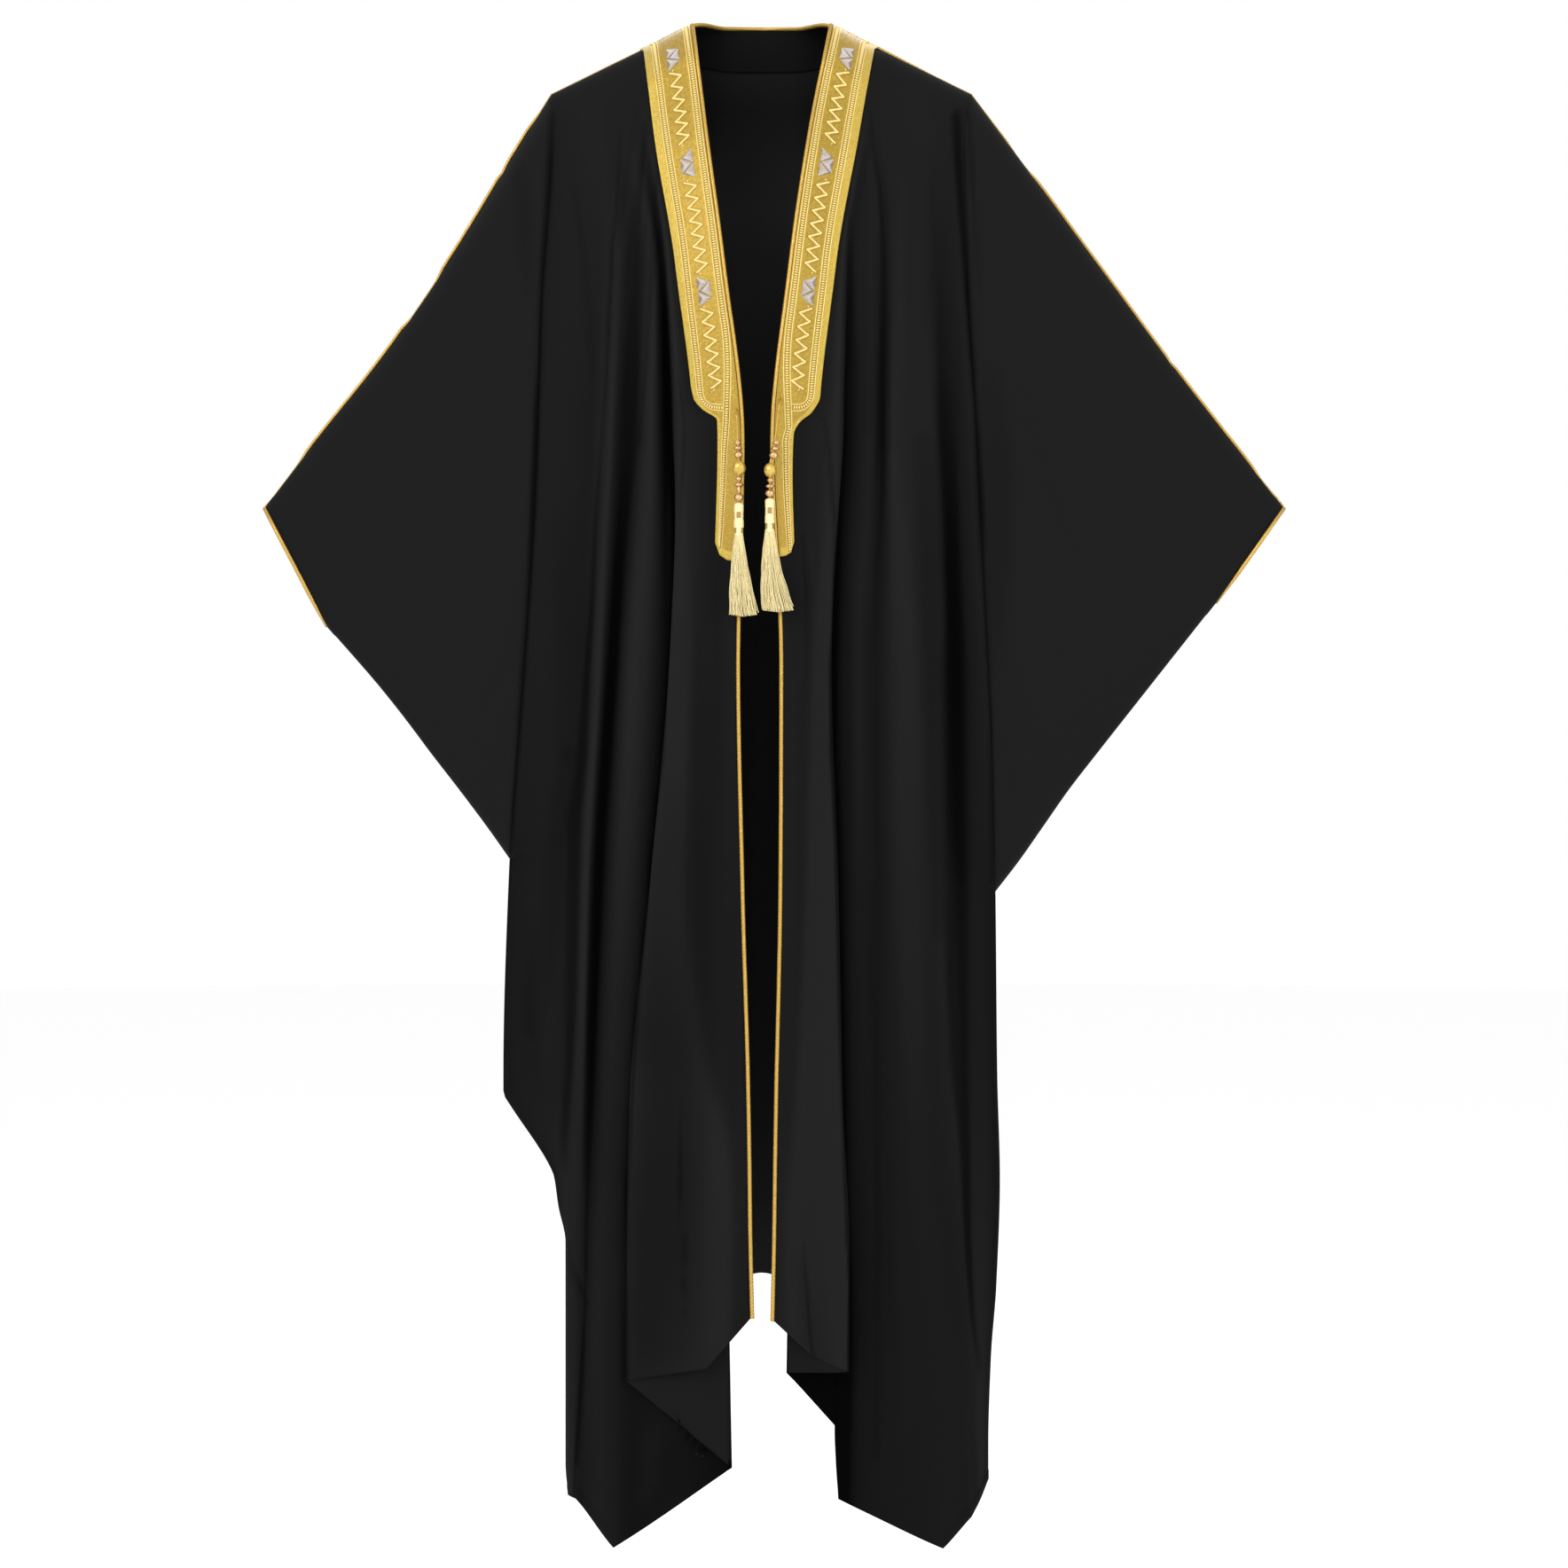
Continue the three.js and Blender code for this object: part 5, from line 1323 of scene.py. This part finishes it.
# what hangs from each band: sighted places and sizes, beads as (x, height, width, height of the bead)
hangings = {
    "left": {"seatRow": 0.4577, "x": -26, "headTop": -537, "skirtEnd": -665, "lean": 5, "skirt": 16.2,
             "beads": {"upper": (-26.4, -483, 9.6, 7.6), "large": (-25.8, -498, 14.2, 16.8),
                       "lower": (-26, -531, 10.4, 8.8)},
             "small": ((-27.4, -469.3, 7.2, 5.8), (-27, -475.4, 9.2, 4.8), (-26, -510, 7, 5.4),
                       (-26, -516.6, 10.6, 5.4), (-26, -522.5, 4.4, 6.4))},
    "right": {"seatRow": 0.4314, "x": 9, "headTop": -532, "skirtEnd": -660, "lean": 8.6, "skirt": 17.4,
              "beads": {"upper": (13.4, -483.6, 10.2, 8.4), "large": (9.4, -500.2, 13.4, 15.6),
                        "lower": (9, -526.4, 10.2, 8.6)},
              "small": ((16.3, -469.4, 8, 6), (15.3, -475.8, 9.2, 4.8), (9.6, -511.6, 7.2, 5.4),
                        (9.2, -518.4, 9.4, 5.2))},
}
hang = {
    "clear": 11.0, "chest": (0.37, 0.63), "rise": 3.1, "inward": 0.3, "knot": 36,
    "cordRadius": 1.2, "pitch": 1.2, "groove": 0.78, "strands": 3, "lay": 6,
    "leave": ((3, 0), (6, -3)), "bore": 1.3, "beadLip": 0.35, "wound": (0.3, 9, 0.35), "coreShort": 52,
    "coreLean": 0.25, "headDrop": 0.3, "headRound": 24, "smallRound": 20, "beadRound": 24, "largeRound": 36,
}
# the cord's way down from its seat to the tassel, as shares of the drop and of the way across
cordWay = ((0.08, 0.1), (0.2, 0.28), (0.34, 0.42), (0.5, 0.66), (0.65, 0.96), (0.8, 1))
strand = {
    "count": 230, "radius": 0.42, "sides": 4, "steps": 15, "start": -34.0, "ragged": 4.5, "sideShort": 2.0,
    "waist": 0.27, "lean": 2.2, "depth": (4.4, 6.2), "sway": 0.7, "swayDeep": 0.4,
    "crinkle": 0.55, "crinkleTurns": (9, 20), "crinkleFrom": 0.3,
}
tasselHead = ((0, 0.6), (2.6, 0.3), (4.6, -0.8), (5.4, -3.2), (5.1, -6), (5.2, -9), (4.9, -9.8), (5.0, -16.6),
              (4.7, -17.4), (5.3, -18.4), (5.4, -26), (4.8, -27), (5.0, -33), (4.6, -34), (4.8, -36.5))
headChecks = ((-9.8, -16.6, 0), (-27, -33, 1))  # from, to and which way round the dark blocks stand
headTones = {"thread": 0.5, "block": 0.06, "blocks": 3, "blockFrom": 0.1}


def headTone(profile, around):
    # one value for each face: the middle gold, and dark blocks round the head in two rows
    tone = np.full((len(profile) - 1, around), headTones["thread"])
    angle = 2 * np.pi * (np.arange(around) + 0.5) / around
    for top, bottom, turn in headChecks:
        blocks = np.sin(headTones["blocks"] * angle + turn * np.pi) > headTones["blockFrom"]
        for k, ((_, a), (_, b)) in enumerate(zip(profile, profile[1:])):
            if bottom - 0.1 <= (a + b) / 2 <= top + 0.1:
                tone[k] = np.where(blocks, headTones["block"], headTones["thread"])
    return tone


def turnedShape(name, profile, around, centre, material, ripple=None, tone=None):
    # a profile of (radius, height) turned round its upright, closed on the axis or on itself
    profile = np.array(profile, float)
    angles = np.linspace(0, 2 * np.pi, around, endpoint=False)
    radius = np.broadcast_to(profile[:, 0][:, None], (len(profile), around)).copy()
    if ripple is not None:
        radius = radius + ripple(profile[:, 1][:, None], angles[None]) * (radius > hang["bore"] + 0.9)
    height = np.broadcast_to(profile[:, 1][:, None], radius.shape)
    points = np.stack([radius * np.cos(angles), radius * np.sin(angles), height], axis=-1).reshape(-1, 3)
    quads = quadsOf(len(profile), around, True, True)
    return makeMesh(name, points + centre, quads, material, tone=tone)


def beadProfile(width, height):
    bore = hang["bore"]
    angle = np.linspace(-np.pi / 2, np.pi / 2, 15)
    outer = [(max(width / 2 * math.cos(a), bore + hang["beadLip"]), height / 2 * math.sin(a)) for a in angle[::-1]]
    return [(bore, height / 2), *outer, (bore, -height / 2), (bore, height / 2)]


def strandPath(given, length, k):
    # one strand of the skirt, from its place in a spiral over the foot of the head
    out, angle = math.sqrt((k + 0.5) / strand["count"]), k * math.pi * (3 - math.sqrt(5))
    side, depth = out * math.cos(angle), out * math.sin(angle)
    t = np.linspace(0, 1, strand["steps"])
    sway = rng.normal(0, strand["sway"]) * t ** 2
    crinkle = np.sin(t * rng.uniform(*strand["crinkleTurns"]) + rng.uniform(0, 6.3))
    sway = sway + strand["crinkle"] * crinkle * lerp(strand["crinkleFrom"], 1.0, t)
    end = -length + strand["ragged"] * rng.random() ** 2 + strand["sideShort"] * abs(side)
    x = given["lean"] * t ** strand["lean"] + given["skirt"] * side * lerp(strand["waist"], 1.0, t) + sway
    y = lerp(*strand["depth"], t) * depth + strand["swayDeep"] * rng.normal(0, 1) * t
    return np.stack([x, y, lerp(strand["start"], end, t)], axis=-1)


def makeTassel(sideName, top, length):
    turns, steps = hang["headRound"], strand["steps"]
    profile = [*tasselHead, (0.01, tasselHead[-1][1])]
    head = turnedShape("tassel_head_" + sideName, profile, turns, top, materials["tassel_head"],
                       tone=headTone(profile, turns))
    paths = [strandPath(hangings[sideName], length, k) + top for k in range(strand["count"])]
    edges = [(k * steps + a, k * steps + b) for k in range(strand["count"]) for a, b in chain(steps)]
    strands = growMesh("tassel_strands_" + sideName, np.concatenate(paths), edges, {}, threadTree,
                       materials["tassel"], radius=strand["radius"] / 1000, sides=strand["sides"])
    return head, strands


def woundRipple(height, angle):
    reach, ribs, twist = hang["wound"]
    return reach * np.cos(ribs * angle + height * twist)


def makeHanging(sideName):
    given, side = hangings[sideName], foldSteps[sideName][0]
    grid, normals = clothSurfaces["front_panel_" + sideName]
    low, high = hang["chest"]
    reach = (upperRows >= low) & (upperRows <= high)
    chest = grid[:len(upperRows)][reach][:, :side * 2 // 3 + 1, 1].min()
    hangY = chest - hang["clear"]
    row = int(np.argmin(np.abs(upperRows - given["seatRow"])))
    out = normals[row, 0]
    seat = lerp(grid[row, 0], grid[row, side // 3], hang["inward"]) + out * hang["rise"]
    top = realPlace(given["x"], hangY, given["headTop"])
    end = realPlace(given["x"], hangY, given["skirtEnd"])

    # the cord runs on into the middle of the tassel
    core = top + np.array([given["lean"] * hang["coreLean"], 0, end[2] - top[2] + hang["coreShort"]])
    way = [np.array([lerp(seat[0], top[0], across), hangY, lerp(seat[2], top[2], down)])
           for down, across in cordWay]
    leaving = [seat + out * away + (0, 0, rise) for away, rise in hang["leave"]]
    route = [seat, *leaving, *way, top, top - (0, 0, hang["knot"]), core]
    spots = [(k, f) for k in range(len(route) - 1) for f in np.linspace(0, 1, 8, endpoint=False)]
    path = curveThrough(np.array(route)[None], [*spots, (len(route) - 2, 1.0)])[0]
    path, length = evenPath(path, hang["pitch"])
    cord = growRope("tassel_cord_" + sideName, path, False, hang["cordRadius"], hang["groove"],
                    hang["strands"], hang["lay"])

    def bead(name, size, around, material, ripple=None):
        x, z, width, height = size
        return turnedShape(name, beadProfile(width, height), around, realPlace(x, hangY, z), materials[material],
                           ripple)

    beads = {}
    for name, size in given["beads"].items():
        name = "bead_%s_%s" % (name, sideName)
        large = name.startswith("bead_large")
        looks = (hang["largeRound"], "gilt", woundRipple) if large else (hang["beadRound"], "bead")
        beads[name] = bead(name + "_turned", size, *looks)
    small = [bead("bead_small_%d_%s" % (k, sideName), size, hang["smallRound"], "bead")
             for k, size in enumerate(given["small"])]
    head, strands = makeTassel(sideName, top - np.array([0, 0, hang["headDrop"]]), top[2] - end[2])
    return {"cord": cord, "path": path, "length": length, "beads": beads, "small": small, "head": head,
            "strands": strands, "seat": path[0]}


hung = {sideName: makeHanging(sideName) for sideName in ("left", "right")}
print("tassels ready")


def flatSize(grid):
    # the cloth's flat area and the longest way down and across it, in metres
    a, b, c, d = (grid[:-1, :-1], grid[:-1, 1:], grid[1:, 1:], grid[1:, :-1])
    area = np.linalg.norm(np.cross(c - a, d - b), axis=-1).sum() / 2e6
    width = np.linalg.norm(np.diff(grid, axis=1), axis=-1).sum(axis=1).max() / 1000
    length = np.linalg.norm(np.diff(grid, axis=0), axis=-1).sum(axis=0).max() / 1000
    return float(width), float(length), float(area)


def sleeveSize(grid):
    # the sleeve opened out flat on both sides of its top line
    *_, area = flatSize(np.concatenate([grid, grid[:, :1]], axis=1))
    top = unit(grid[-1, 0] - grid[0, 0])
    away = grid - grid[0, 0]
    along = away @ top
    across = np.linalg.norm(away - along[..., None] * top, axis=-1).max()
    return float(2 * across / 1000), float(np.ptp(along) / 1000), area


def dress(piece, node=None):
    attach(piece, "root")
    if node:
        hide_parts(node)


def declareCloth():
    for name, piece in clothPieces.items():
        grid = clothSurfaces[name][0]
        width, length, area = (sleeveSize if name.startswith("sleeve") else flatSize)(grid)
        dress(piece, name)
        print("%s is cut %.3f by %.3f m, %.3f square metres" % (name, width, length, area))
    width, length, area = flatSize(neckGrid(neckFacing)[0])
    dress(facing, "neck_facing")
    print("neck_facing is cut %.3f by %.3f m" % (width, length))


def declareBands():
    for sideName, (piece, sewn, flatBand) in bands.items():
        width, length, area = flatSize(flatBand.points)
        dress(piece, "zari_band_" + sideName)
        for stitches in sewn:
            dress(stitches)
        print("zari_band_%s is cut %.3f by %.3f m, %.4f square metres" % (sideName, width, length, area))


def declareCords():
    for name, piece in edgings.items():
        dress(piece, name)
    for sideName, pieces in hung.items():
        dress(pieces["cord"], "tassel_cord_" + sideName)
        for name, bead in pieces["beads"].items():
            dress(bead, name)
        for bead in pieces["small"]:
            dress(bead)
        dress(pieces["strands"], "tassel_" + sideName)
        dress(pieces["head"])
        tuple(pieces["seat"] / 1000)
        pieces["length"] / 1000
        [tuple(place) for place in pieces["path"] / 1000]
        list(pieces["small"])
        print("tassel_cord_%s is %.4f m long" % (sideName, pieces["length"] / 1000))


declareCloth()
declareBands()
declareCords()
